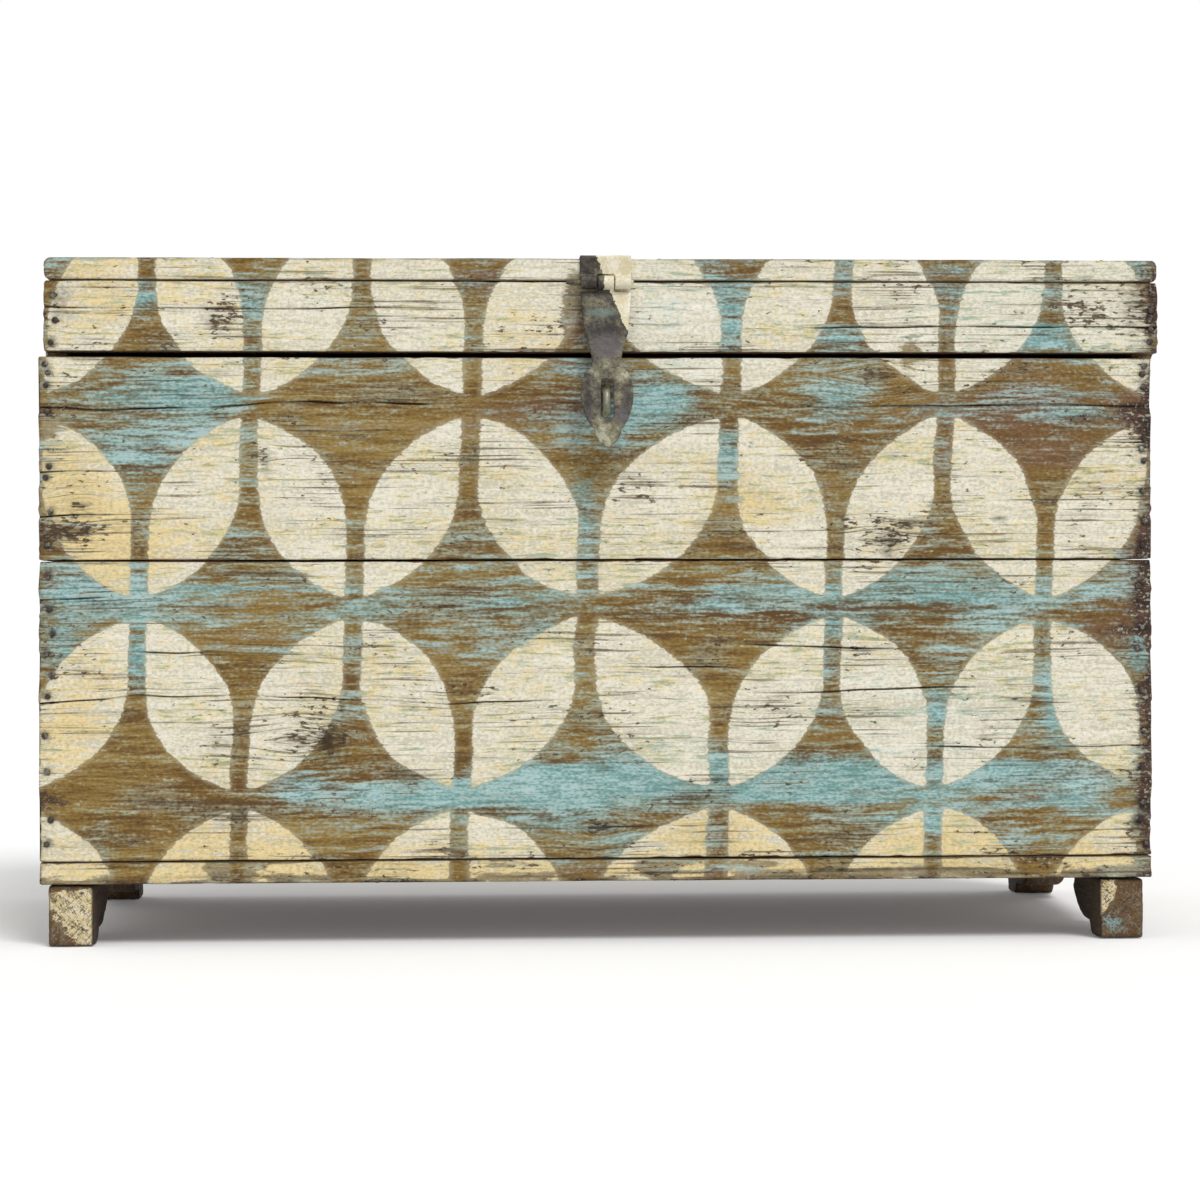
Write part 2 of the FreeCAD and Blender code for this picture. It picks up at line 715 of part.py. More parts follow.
floor_columns = spread(body_left * FLOOR_ROW_SHARE, body_right * FLOOR_ROW_SHARE, FLOOR_NAIL_COUNT)
floor_spots = [(x, y, s.foot_height) for y in rail_rows for x in floor_columns]
floor_spots += [(x, y, s.foot_height) for y in plank_rows[2:-2] for x in wall_columns]
nail_group("floor_nails", floor_spots, DOWNWARDS, "nail")

foot_columns = ((body_left + s.wall + foot_left + s.foot_thick / 2) / 2,
                (body_right - s.wall + foot_right - s.foot_thick / 2) / 2)
foot_rows = [foot_front + s.foot_reach * share for share in FOOT_NAIL_SHARES]
foot_rows += [foot_back - s.foot_reach * share for share in FOOT_NAIL_SHARES]
nail_group("foot_nails", [(x, y, floor_top) for x in foot_columns for y in foot_rows], UPWARDS, "nail")

hinge_face = back + s.hinge_leaf
hinge_rows = (("hinge_body_nails", s.hinge_drop, -1), ("hinge_lid_nails", s.hinge_rise, 1))
for label, height, direction in hinge_rows:
    spots = [(x + across, hinge_face, rim + down * direction)
             for x in hinge_places.values() for across, down in hinge_tack_places(height)]
    nail_group(label, spots, BACKWARDS, "tack")

hasp_spots = [(s.lid_shift + across, front + along, lid_top + s.hasp_leaf)
              for across, along in hasp_tack_places()]
nail_group("hasp_leaf_nails", hasp_spots, UPWARDS, "tack")

# Check every object, then write one file for each piece

doc.recompute()
for item in doc.Objects:
    if {"Invalid", "Error"} & set(item.State):
        raise RuntimeError(f"{item.Label} failed: {item.State}")
os.makedirs("parts", exist_ok=True)
for label, piece in pieces.items():
    shape = piece.Shape
    if shape.isNull() or not shape.isValid():
        raise RuntimeError(f"{label} has no valid shape")
    shape.exportStep(f"parts/{label}.step")
    box = shape.BoundBox
    print(f"{label}: {len(shape.Solids)} solids, {shape.Volume:.0f} mm3, "
          f"y {box.YMin:.1f} to {box.YMax:.1f}, z {box.ZMin:.1f} to {box.ZMax:.1f}")
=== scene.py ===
# %% [markdown]
# # A painted plank trunk
#
# The real trunk is a box of thick softwood boards, nailed at the corners, with a shallow framed
# lid, four bracket feet and a forged hasp. It was painted turquoise, then brown, and last a cream
# petal pattern was stencilled over the front. Years of rubbing took the paint off in streaks
# along the grain.
#
# The CAD model is the frame: every piece below takes its place and size from a node of that frame
# and rides on one of its bodies. The boards could keep their plain CAD shape and get a bump map,
# but worn arrises, open cracks and sunk nails show in the outline and in raking light, so each
# board is meshed again with that wear in its shape.

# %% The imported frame
import json
from functools import partial
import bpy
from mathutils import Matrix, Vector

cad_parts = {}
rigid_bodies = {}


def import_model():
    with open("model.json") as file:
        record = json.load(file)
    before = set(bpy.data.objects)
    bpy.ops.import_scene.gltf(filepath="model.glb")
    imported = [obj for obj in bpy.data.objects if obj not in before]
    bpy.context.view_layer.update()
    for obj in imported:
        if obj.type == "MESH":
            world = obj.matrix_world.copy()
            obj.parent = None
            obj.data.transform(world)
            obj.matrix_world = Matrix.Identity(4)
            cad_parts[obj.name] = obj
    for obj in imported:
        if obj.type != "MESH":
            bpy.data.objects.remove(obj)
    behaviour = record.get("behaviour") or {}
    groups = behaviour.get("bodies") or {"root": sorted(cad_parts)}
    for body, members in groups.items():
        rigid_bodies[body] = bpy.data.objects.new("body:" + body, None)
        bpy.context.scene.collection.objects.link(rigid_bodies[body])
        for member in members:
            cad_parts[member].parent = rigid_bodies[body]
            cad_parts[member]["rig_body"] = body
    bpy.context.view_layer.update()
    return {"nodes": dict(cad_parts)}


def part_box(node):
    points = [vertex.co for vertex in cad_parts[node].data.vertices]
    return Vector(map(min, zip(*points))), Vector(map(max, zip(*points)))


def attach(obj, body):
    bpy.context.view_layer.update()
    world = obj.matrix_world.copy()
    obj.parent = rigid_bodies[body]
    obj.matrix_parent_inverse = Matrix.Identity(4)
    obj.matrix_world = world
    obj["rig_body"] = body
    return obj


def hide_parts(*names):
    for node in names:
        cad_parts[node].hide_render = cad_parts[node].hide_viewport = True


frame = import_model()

from types import SimpleNamespace

import bpy
import numpy as np
from mathutils import Vector

MM = 0.001

# %% [markdown]
# ## Two small helpers
#
# Colours are written as sRGB hex values, the way a paint chip is measured, and turned to linear
# light once. Every shader and geometry node is added by one function, which sets its properties
# and fills its sockets: a value is set, a node or a socket is linked.

# %% Colour and node helpers
def linear(hex_colour):
    """An sRGB hex colour as linear red, green, blue and alpha."""
    parts = [int(hex_colour[place:place + 2], 16) / 255 for place in (1, 3, 5)]
    light = [part / 12.92 if part <= 0.04045 else ((part + 0.055) / 1.055) ** 2.4
             for part in parts]
    return (*light, 1)


def node(tree, kind, inputs=None, stops=(), **settings):
    """Add a node with settings and colour stops, and set or link its inputs by name or number."""
    made = tree.nodes.new(kind)
    for name, setting in settings.items():
        setattr(made, name, setting)
    for place, (share, hex_colour) in enumerate(stops):
        elements = made.color_ramp.elements
        element = elements[place] if place < len(elements) else elements.new(share)
        element.position, element.color = share, linear(hex_colour)
    for key, value in (inputs or {}).items():
        if isinstance(key, int):
            socket = made.inputs[key]
        else:
            socket = next(item for item in made.inputs if item.enabled and item.name == key)
        if isinstance(value, bpy.types.Node):
            value = next(item for item in value.outputs if item.enabled)
        if isinstance(value, bpy.types.NodeSocket):
            tree.links.new(value, socket)
        else:
            socket.default_value = value
    return made


def new_material(name):
    """An empty node material, with its tree."""
    material = bpy.data.materials.new(name)
    material.use_nodes = True
    material.node_tree.nodes.clear()
    return material, material.node_tree


print("middle grey in linear light:", linear("#808080"))

# %% [markdown]
# ## Random fields
#
# Worn wood is never regular, but the script has to give the same trunk each time. A table of
# random numbers with a fixed seed is blended smoothly between its cells: sampled with long steps
# along the grain and short ones across it, the same field gives grain, waves and chips.

# %% Smooth noise from a fixed table
CELLS = 256
table = np.random.default_rng(1911).random((CELLS, CELLS))


def field(along, across):
    """A smooth random field from 0 to 1 that changes over one unit each way."""
    a0, c0 = np.floor(along).astype(int), np.floor(across).astype(int)
    a, c = along - a0, across - c0
    a, c = a * a * (3 - 2 * a), c * c * (3 - 2 * c)
    corner = [[table[(a0 + i) % CELLS, (c0 + j) % CELLS] for j in (0, 1)] for i in (0, 1)]
    low = corner[0][0] * (1 - c) + corner[0][1] * c
    high = corner[1][0] * (1 - c) + corner[1][1] * c
    return low * (1 - a) + high * a


def ease(value, start, end):
    """0 before start, 1 after end, smooth between."""
    share = np.clip((value - start) / (end - start), 0, 1)
    return share * share * (3 - 2 * share)


print("noise table", table.shape)

# %% [markdown]
# ## Where the petals are
#
# The stencil is the old overlapping-circles ornament: four petals meet at each point of a
# staggered grid. It was laid out by eye, so its columns are not evenly spaced. Each board carries
# its place in that grid as a UV map, a number that grows by one from column to column and from
# row to row, and the paint draws the petals from the two numbers. The grid runs up the front and
# on over the lid, and the ends of the trunk have the same grid with even columns.

# %% The stencil's grid, in millimetres on the front face
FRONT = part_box("front_board_lower")[0].y / MM
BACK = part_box("back_board_lower")[1].y / MM
PETAL_COLUMNS = (-712, -617, -515, -418, -322, -224, -122, -13, 114, 214, 311, 407, 508, 610)
PETAL_ROWS = (-45, 133, 306, 490, 673, 855, 1038, 1220)
PETAL_LEAN = 0.03
LEAN_LEVEL = 306
END_COLUMN = 102


def stencil_place(points, on_end):
    """The grid numbers of points in millimetres. The lid's top carries on from its front edge."""
    x, y, z = points[..., 0], points[..., 1], points[..., 2]
    if on_end:
        return (y - FRONT) / END_COLUMN, np.interp(z, PETAL_ROWS, range(len(PETAL_ROWS)))
    height = z + (y - FRONT)
    column = np.interp(x - (z - LEAN_LEVEL) * PETAL_LEAN, PETAL_COLUMNS, range(len(PETAL_COLUMNS)))
    return column, np.interp(height, PETAL_ROWS, range(len(PETAL_ROWS)))


print(len(PETAL_COLUMNS), "petal columns,", len(PETAL_ROWS), "rows")

# %% [markdown]
# ## Marks of use on the front
#
# Rubbing, soil and missed paint gather in places: round the hasp, along the seams, at the dirty
# ends. A few marks are painted shade: the hasp's slot, three holes at the ends, and in part a
# brown band left of the hasp, where the strap's shadow falls. They could be brushed by hand into
# an image. Here each mark is an ellipse that fades out, written as five numbers, so that it can be
# moved or made stronger without painting again.

# %% Patches of colour on the front
# Each patch: across and up in millimetres, half width, half height, strength.
# A patch below nought keeps its neighbours out.
TURQUOISE_PATCHES = (
    # lid
    (-417, 588, 22, 16, 0.9), (-325, 582, 36, 20, 0.7), (110, 570, 34, 34, 1.0),
    (220, 547, 30, 12, 0.8), (402, 555, 34, 16, 1.0), (493, 615, 14, 8, 0.7),
    (340, 590, 90, 30, 0.3),
    # upper board
    (-400, 500, 60, 18, 1.0), (-420, 450, 45, 30, 0.7), (-345, 490, 30, 30, 0.5),
    (60, 492, 34, 26, 1.1), (110, 445, 40, 26, 1.0), (220, 493, 30, 16, 0.9),
    (15, 470, 18, 26, 0.5), (438, 482, 36, 10, 0.7), (-14, 400, 12, 34, 0.7),
    (-180, 450, 110, 60, -0.6), (390, 420, 110, 40, -0.7), (130, 395, 60, 40, -0.6),
    (300, 520, 120, 16, -0.4),
    # lower board, along its upper edge
    (-450, 320, 55, 22, 1.0), (-330, 335, 50, 16, 0.5), (-215, 307, 40, 14, 0.6),
    (-90, 310, 70, 14, 0.7), (110, 312, 40, 14, 0.7), (290, 315, 130, 22, 1.0),
    (210, 290, 40, 10, 0.6), (-53, 285, 14, 12, 0.7), (-417, 262, 16, 34, 0.9),
    (-485, 270, 16, 26, 0.8), (495, 265, 14, 32, 0.8), (20, 270, 60, 20, -0.5),
    # lower board, further down
    (420, 220, 14, 38, 1.1), (311, 210, 16, 22, 0.9), (201, 250, 12, 40, 0.5),
    (90, 150, 150, 22, 1.15), (250, 150, 120, 22, 0.9), (-60, 140, 110, 20, 0.9),
    (-180, 132, 80, 12, 0.9), (-272, 145, 26, 18, 0.6), (380, 155, 60, 12, 0.8),
    (300, 108, 40, 12, 0.7), (-50, 108, 60, 12, 0.6), (20, 88, 16, 16, 0.6),
    (-453, 95, 16, 30, 0.5), (438, 130, 26, 14, 0.6), (-330, 210, 40, 60, -0.6),
    (-440, 180, 60, 50, -0.6), (-145, 225, 25, 40, -0.6), (110, 235, 25, 40, -0.6),
    (-330, 95, 120, 25, -0.6), (0, 62, 500, 8, -0.5),
)
RUDDY_PATCHES = (
    (-100, 605, 60, 20, 0.8), (320, 590, 160, 40, 0.6), (110, 610, 60, 16, 0.6),
    (-40, 492, 90, 20, 0.9), (390, 470, 120, 60, 1.0), (500, 400, 22, 240, 0.9),
    (460, 290, 50, 30, 1.0), (0, 62, 500, 8, 0.6), (400, 130, 50, 16, 0.5), (200, 460, 60, 50, 0.5),
    # This patch, left of the hasp, is partly a rust stain and partly the strap's shadow, painted in
    (-20, 560, 16, 50, 1.0),
)
WARM_PATCHES = (
    (-480, 385, 45, 50, 1.2), (-420, 365, 50, 30, 0.8), (-470, 200, 40, 60, 0.8),
    (-330, 85, 180, 30, 0.8), (-430, 590, 70, 40, 0.5), (140, 95, 80, 30, 0.7),
    (310, 85, 60, 30, 0.6), (129, 395, 40, 30, 0.5), (-50, 545, 40, 40, 0.5),
    (440, 80, 70, 30, 0.8), (0, 66, 500, 10, 0.7), (300, 200, 110, 50, -0.6),
    (60, 560, 60, 60, -0.6), (380, 570, 100, 50, -0.4), (100, 180, 120, 20, -0.4),
)
print(len(TURQUOISE_PATCHES), "turquoise,", len(RUDDY_PATCHES), "ruddy,", len(WARM_PATCHES), "warm")

# %% Patches of wear, dirt and painted shade on the front
SCUFF_PATCHES = (
    (258, 367, 32, 24, 1.0), (272, 517, 24, 18, 0.9), (-262, 190, 40, 26, 1.0),
    (-479, 375, 34, 16, 0.9), (-311, 444, 14, 11, 0.9), (-106, 71, 60, 12, 0.6),
    (149, 76, 70, 12, 0.7), (-242, 67, 50, 10, 0.5), (-488, 586, 24, 26, 0.6),
    (470, 577, 40, 34, 0.8), (400, 66, 50, 12, 0.7), (-120, 230, 40, 20, 0.4),
    (370, 520, 40, 14, 0.5), (-450, 545, 60, 14, 0.5), (-60, 560, 40, 20, 0.5),
    (-345, 568, 24, 14, 0.9), (-262, 598, 32, 12, 0.8),
)
SOILED_PATCHES = (
    (-497, 375, 24, 20, 0.45), (-495, 482, 32, 9, 0.6), (-495, 132, 28, 10, 0.8),
    (-500, 285, 9, 40, 0.4), (500, 480, 30, 26, 0.9), (501, 355, 16, 36, 0.9),
    (500, 300, 20, 24, 0.8), (468, 283, 28, 9, 0.7), (501, 215, 12, 60, 0.6),
    (501, 130, 16, 40, 0.7), (400, 72, 40, 9, 0.5), (311, 66, 20, 6, 0.5), (-320, 64, 30, 5, 0.4),
    (385, 460, 16, 8, 0.6), (450, 482, 34, 8, 0.5), (503, 590, 16, 34, 0.7),
)
MISSED_PAINT_AND_SHADOW = (
    # The first patch, left of the hasp, takes off the cream in a band that is partly missed paint
    # and partly the strap's shadow, painted in
    (-22, 565, 9, 40, 1.0), (-500, 470, 14, 10, 0.5), (505, 380, 8, 30, 0.5),
    (330, 340, 14, 8, 0.5), (-240, 165, 14, 12, 0.6), (285, 540, 10, 12, 0.5),
    (505, 95, 12, 20, 0.6),
)
DARK_PATCHES = (
    # The first dark patch is painted shade seen through the hasp's slot; the next three are holes
    # at the ends, painted dark for the shade in them
    (5.5, 494, 10, 16, 1.0), (497, 123, 7, 6, 1.0), (494, 108, 6, 6, 0.9), (-503, 362, 7, 8, 0.7),
    (260, 65.5, 120, 1.3, 0.9), (60, 64, 50, 1.2, 0.7), (-330, 63, 60, 1.2, 0.6),
    (-247, 185, 13, 17, 0.8), (264, 362, 9, 12, 0.65), (-2, 105, 14, 5, 0.6),
    (-303, 437, 5, 9, 0.5), (-345, 184, 10, 5, 0.5), (366, 386, 5, 4, 0.7),
    (-345, 566, 12, 6, 0.45), (-487, 584, 10, 14, 0.5), (490, 575, 10, 18, 0.5),
    (-470, 392, 8, 3, 0.6), (505, 470, 6, 9, 0.7), (503, 345, 6, 10, 0.6), (-500, 535, 12, 3, 0.5),
)


def spread(across, up, places):
    """How strongly points lie in patches, all added up."""
    total = 0 * across
    for x, z, half_width, half_height, strength in places:
        away = ((across - x) / half_width) ** 2 + ((up - z) / half_height) ** 2
        total = total + strength * np.exp(-away)
    return total


print(len(SCUFF_PATCHES), "scuffs,", len(SOILED_PATCHES), "soiled,", len(DARK_PATCHES), "dark")

# %% [markdown]
# ## Where the nails are
#
# The CAD nodes hold every nail with its shank in the wood. Their heads are found from those
# meshes, so that each board can be dished and stained round its nails, and so that the visible
# heads stand exactly where the nails are.

# %% Nail places from the CAD nodes
NAIL_FACING = {
    "front_nails": (0, -1, 0), "lid_front_nails": (0, -1, 0), "back_nails": (0, 1, 0),
    "lid_back_nails": (0, 1, 0), "hinge_body_nails": (0, 1, 0), "hinge_lid_nails": (0, 1, 0),
    "lid_top_nails": (0, 0, 1), "lid_batten_nails": (0, 0, 1), "hasp_leaf_nails": (0, 0, 1),
    "foot_nails": (0, 0, 1), "floor_nails": (0, 0, -1),
}
NAIL_APART = 10


def nail_tops(name):
    """The top of each nail head in a CAD nail node, in millimetres."""
    facing = np.array(NAIL_FACING[name], float)
    points = np.array([vertex.co for vertex in frame["nodes"][name].data.vertices]) / MM
    flat = points - np.outer(points @ facing, facing)
    tops = []
    while len(points):
        near = np.linalg.norm(flat - flat[0], axis=1) < NAIL_APART
        group = points[near]
        middle = (group.min(axis=0) + group.max(axis=0)) / 2
        level = (group @ facing).max()
        tops.append(middle + facing * (level - middle @ facing))
        points, flat = points[~near], flat[~near]
    return np.array(tops)


nails = {name: nail_tops(name) for name in NAIL_FACING}
print({name: len(tops) for name, tops in nails.items()})

# %% [markdown]
# ## Weathered boards
#
# A board is sawn square, then its arrises wear round, its surface shrinks into ridges along the
# grain, its ends fray and it cracks. A subdivided cube with a displacement texture would need an
# even, very fine grid. Here a rounded cross-section is drawn once and set out along the grain, in
# rows a millimetre or two apart across the grain and wider steps along it. All wear only takes
# wood away, so the board stays inside its CAD box. Rows bend to follow each crack, so that a crack
# is a real groove two rows wide.

# %% Cracks and knots, as shares of each board's length and width
CRACKS = {
    "front_board_upper": (
        ((0, 0.74), (0.06, 0.735), (0.15, 0.75), (0.24, 0.772), (0.36, 0.765), (0.52, 0.77)),
        ((0.62, 0.765), (0.70, 0.75), (0.80, 0.762), (0.90, 0.768), (1.0, 0.755)),
        ((0.945, 0.585), (1.0, 0.58)),
        ((0, 0.43), (0.05, 0.44), (0.09, 0.437)),
        ((0, 0.215), (0.03, 0.225), (0.075, 0.22)),
    ),
    "front_board_lower": (
        ((0, 0.53), (0.09, 0.556), (0.19, 0.557), (0.27, 0.543), (0.36, 0.525), (0.48, 0.536)),
        ((0.62, 0.557), (0.70, 0.555), (0.80, 0.57), (0.86, 0.567)),
        ((0.51, 0.650), (0.56, 0.645), (0.64, 0.64)),
        ((0.62, 0.725), (0.70, 0.716), (0.81, 0.71)),
        ((0.05, 0.700), (0.12, 0.695), (0.20, 0.69), (0.27, 0.68)),
        ((0.79, 0.37), (0.90, 0.366), (1.0, 0.37)),
        ((0, 0.87), (0.10, 0.885)),
        ((0.83, 0.455), (0.93, 0.46)),
        ((0.88, 0.075), (1.0, 0.085)),
        ((0.44, 0.10), (0.56, 0.105)),
    ),
    "lid_front_rail": (
        ((0, 0.62), (0.20, 0.60), (0.33, 0.63)),
        ((0.66, 0.35), (0.83, 0.38), (1.0, 0.36)),
    ),
    "lid_plank_middle": (((0.1, 0.4), (0.45, 0.43), (0.7, 0.41)),),
    "lid_plank_rear": (((0.4, 0.62), (0.75, 0.6), (1.0, 0.63)),),
    "back_board_lower": (((0, 0.45), (0.3, 0.47), (0.62, 0.46)), ((0.7, 0.74), (1.0, 0.72))),
    "back_board_upper": (((0.35, 0.33), (0.7, 0.36), (1.0, 0.34)),),
    "left_end_board_lower": (((0, 0.6), (0.4, 0.62), (0.7, 0.6)),),
    "right_end_board_upper": (((0.3, 0.5), (0.7, 0.53), (1.0, 0.5)),),
    "right_end_board_lower": (((0, 0.33), (0.35, 0.35), (0.6, 0.34)),),
}
KNOTS = {
    "front_board_upper": ((0.749, 0.91, 11), (0.749, 0.10, 8), (0.0376, 0.27, 8), (0.194, 0.52, 6)),
    "front_board_lower": ((0.23, 0.40, 11), (0.499, 0.107, 8)),
    "lid_plank_front": ((0.31, 0.55, 10),),
    "lid_plank_middle": ((0.66, 0.7, 9),),
    "back_board_lower": ((0.42, 0.8, 12), (0.81, 0.25, 9)),
    "back_board_upper": ((0.2, 0.6, 9),),
    "left_end_board_upper": ((0.6, 0.45, 9),),
    "right_end_board_lower": ((0.35, 0.7, 10),),
}

# A corner that broke away: its reach along the board and its depth, in millimetres
LOST_CORNERS = {"floor_plank_front": (75, 7.5)}
print(sum(map(len, CRACKS.values())), "cracks,", sum(map(len, KNOTS.values())), "knots")

# %% The cross-section and the stations of a board
# Steps in millimetres: out from a corner, along an edge, across the inside, along the grain near
# an end and further in, and rows on both sides of a crack
CORNER_STEPS = (0, 0.5, 1.1, 1.8, 2.8, 4.2)
EDGE_STEP = 1.7
INSIDE_STEP = 14
END_STEP = 1.6
END_REACH = 26
GRAIN_STEP = 4.6
CRACK_ROWS = (-2.2, -1.1, -0.5, 0, 0.5, 1.1, 2.2)


def side_places(length, step):
    """Places along one side of the cross-section, closer together near its corners."""
    if length < 4 * CORNER_STEPS[-1]:
        return np.linspace(0, length, max(4, round(length / step)), endpoint=False)
    inner = np.arange(CORNER_STEPS[-1], length - CORNER_STEPS[-1], step)
    far = [length - place for place in CORNER_STEPS[:0:-1]]
    return np.concatenate([CORNER_STEPS[:-1], inner, far])


def outline(width, thick, row_step, levels):
    """Points round the cross-section: across, through, and which side each one is on."""
    faces = side_places(width, row_step)
    for level in levels:
        spots = level + np.array(CRACK_ROWS)
        clear = (faces < spots[0] - row_step / 2) | (faces > spots[-1] + row_step / 2)
        faces = np.sort(np.concatenate([faces[clear], spots]))
    edges, inner = side_places(thick, EDGE_STEP), side_places(width, INSIDE_STEP)
    counts = [len(faces), len(edges), len(inner), len(edges)]
    across = [faces, np.full(len(edges), width), width - inner, np.zeros(len(edges))]
    through = [np.full(len(faces), thick), thick - edges, np.zeros(len(inner)), edges]
    sides = np.repeat(["outer", "high", "inner", "low"], counts)
    return np.concatenate(across), np.concatenate(through), sides


def stations(length, step):
    """Places along the grain: close together at the ends, where the nails are."""
    nearest = np.arange(CORNER_STEPS[-1] + END_STEP, END_REACH, END_STEP)
    near = np.concatenate([CORNER_STEPS, nearest])
    middle = np.linspace(END_REACH, length - END_REACH, round((length - 2 * END_REACH) / step))
    return np.concatenate([near, middle, length - near[::-1]])


print(len(stations(1 / MM, GRAIN_STEP)), "stations along a metre of board")

# %% A board before any wear
# Finished pieces, by the CAD node each one stands for. Their number seeds the next board's wear.
pieces = {}
BOARD_SEED = 17.3


def board_grid(name, grain, out, sign, rows, along):
    """A board's box and axes, and its points along (s), across (w), through (t) and round (v)."""
    low, high = [np.array(corner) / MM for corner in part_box(name)]
    cross = 3 - grain - out
    length, width, thick = (high - low)[[grain, cross, out]]
    cracks = CRACKS.get(name, ())
    levels = [np.mean([share for _, share in crack]) * width for crack in cracks]
    across, through, side = outline(width, thick, rows, sorted(levels))
    s = stations(length, along)[:, None]
    run = np.concatenate([[0], np.cumsum(np.hypot(np.diff(across), np.diff(through)))])
    girth = run[-1] + np.hypot(across[0] - across[-1], through[0] - through[-1])
    return SimpleNamespace(
        name=name, low=low, high=high, grain=grain, cross=cross, out=out, sign=sign,
        length=length, width=width, thick=thick, girth=girth, seed=len(pieces) * BOARD_SEED,
        cracks=list(zip(cracks, levels)), side=side, facing=side[None, :] == "outer",
        inside=side[None, :] == "inner", s=s, w=across[None, :] + 0 * s,
        t=through[None, :] + 0 * s, v=run[None, :] + 0 * s,
        from_end=np.minimum(s, length - s) + 0 * across[None, :])


print("each board's wear is seeded", BOARD_SEED, "further on")

# %% Cracks in a board
# In millimetres: depth, half width, how far a crack wanders, how far its rows bend, and how
# slowly it opens and closes along the grain
CRACK_DEPTH = 3.2
CRACK_HALF_WIDTH = 0.55
CRACK_WANDER = 1.6
CRACK_REACH = 13
CRACK_OPENS = 40
CRACK_CLOSES = 60

# Over how many millimetres it wanders and gapes, and how far it gapes where it is nearly shut
WANDER_LONG, WANDER_APART = 31, 9
GAPE_LONG, GAPES, NEARLY_SHUT = 38, (0.2, 0.8), 0.15


def open_cracks(board):
    """Bend the board's rows to follow its cracks, and tell how open each point is."""
    s, groove = board.s, np.zeros_like(board.w)
    for crack, level in board.cracks:
        where = np.array(crack) * (board.length, board.width)
        start, end = where[0, 0], where[-1, 0]
        wander = field(s / WANDER_LONG + board.seed, level / WANDER_APART + 0 * s) - 0.5
        line = np.interp(s, where[:, 0], where[:, 1]) + wander * CRACK_WANDER
        bend = (line - level) * np.exp(-(((board.w - level) / CRACK_REACH) ** 2))
        board.w = np.where(board.facing, board.w + bend, board.w)
        fade = ease(s, start - 1, start + CRACK_OPENS) if start > 1 else 1
        if end < board.length - 1:
            fade = fade * (1 - ease(s, end - CRACK_CLOSES, end + 1))
        gape = ease(field(s / GAPE_LONG + board.seed, level + 0 * s), *GAPES)
        gape = fade * (NEARLY_SHUT + (1 - NEARLY_SHUT) * gape)
        lips = np.exp(-(((board.w - line) / CRACK_HALF_WIDTH) ** 2))
        groove = np.maximum(groove, board.facing * gape * lips)
    return groove


print("cracks", 2 * CRACK_HALF_WIDTH, "mm wide and", CRACK_DEPTH, "mm deep")

# %% Knots and nails in a board
# In millimetres: how near a nail's head is to its face, the dish round it and the stain round it
NAIL_NEAR = 4
NAIL_DISH = 3.8
NAIL_STAIN, STAIN_RAGGED, STAIN_FINE = 3.6, 2, 2

# In radii of a knot: how far it pushes the grain along and across, and the size of its heart
PUSH_LONG, PUSH_WIDE = 3, 2
HEART_LONG, HEART_WIDE = 1.3, 0.8


def swirl_knots(board):
    """Push the grain aside round the board's knots, and tell how much of a knot each point is."""
    knot = np.zeros_like(board.w)
    for place, level, radius in KNOTS.get(board.name, ()):
        ds, dw = board.s - place * board.length, board.w - level * board.width
        push = np.exp(-((ds / (PUSH_LONG * radius)) ** 2) - np.abs(dw) / (PUSH_WIDE * radius))
        board.v = board.v - board.facing * radius * np.sign(dw) * push
        heart = (ds / (HEART_LONG * radius)) ** 2 + (dw / (HEART_WIDE * radius)) ** 2
        knot = np.maximum(knot, board.facing * np.exp(-heart))
    return knot


def nail_marks(board):
    """How far the outer face is dished and stained by the nails driven into it."""
    dish, stain = np.zeros_like(board.w), np.zeros_like(board.w)
    face = (board.high if board.sign > 0 else board.low)[board.out]
    ragged = NAIL_STAIN + STAIN_RAGGED * field(board.s / STAIN_FINE, board.w / STAIN_FINE)
    for top in np.concatenate(list(nails.values())):
        place = top - board.low
        if abs(face - top[board.out]) > NAIL_NEAR or not 0 < place[board.cross] < board.width:
            continue
        reach = np.hypot(board.s - place[board.grain], board.w - place[board.cross])
        dish = dish + board.facing * np.exp(-((reach / NAIL_DISH) ** 2))
        stain = np.maximum(stain, board.facing * np.exp(-((reach / ragged) ** 2)))
    return dish, stain


print(sum(map(len, nails.values())), "nails leave stains", NAIL_STAIN, "mm wide or more")

# %% Rounded arrises
# Radius of an arris in millimetres: at least, more where it is uneven, more where it was knocked,
# and on the inside
ARRIS, ARRIS_UNEVEN, ARRIS_KNOCKED, ARRIS_INSIDE = 0.9, 1.6, 2.6, 0.8
UNEVEN_LONG, UNEVEN_ROW = 60, 3.3
KNOCK_LONG, KNOCKS_RARE = 17, (0.72, 0.95)
NO_DISTANCE = 1e-6


def worn_core(board, end_round):
    """Each point as a place on a circle round a core: core, direction, and room to the outside."""
    s, seed, width, thick = board.s, board.seed, board.width, board.thick
    uneven = field(s / UNEVEN_LONG + seed, 0 * s + UNEVEN_ROW)
    knocks = ease(field(s / KNOCK_LONG, 0 * s + seed), *KNOCKS_RARE)
    radius = ARRIS + ARRIS_UNEVEN * uneven + ARRIS_KNOCKED * knocks
    radius = np.where(board.inside, ARRIS_INSIDE, radius)
    short = np.maximum(0, end_round - board.from_end)
    inset = end_round - np.sqrt(np.maximum(0, end_round ** 2 - short ** 2))
    w_in, t_in = np.clip(board.w, inset, width - inset), np.clip(board.t, inset, thick - inset)
    core_w = np.clip(w_in, radius + inset, width - radius - inset)
    core_t = np.clip(t_in, radius + inset, thick - radius - inset)
    away_w, away_t = w_in - core_w, t_in - core_t
    far = np.maximum(np.hypot(away_w, away_t), NO_DISTANCE)
    room = np.minimum(radius, np.minimum(width, thick) / 2 - inset)
    return core_w, core_t, away_w / far, away_t / far, room


print("arrises from", ARRIS, "to", ARRIS + ARRIS_UNEVEN + ARRIS_KNOCKED, "mm round")

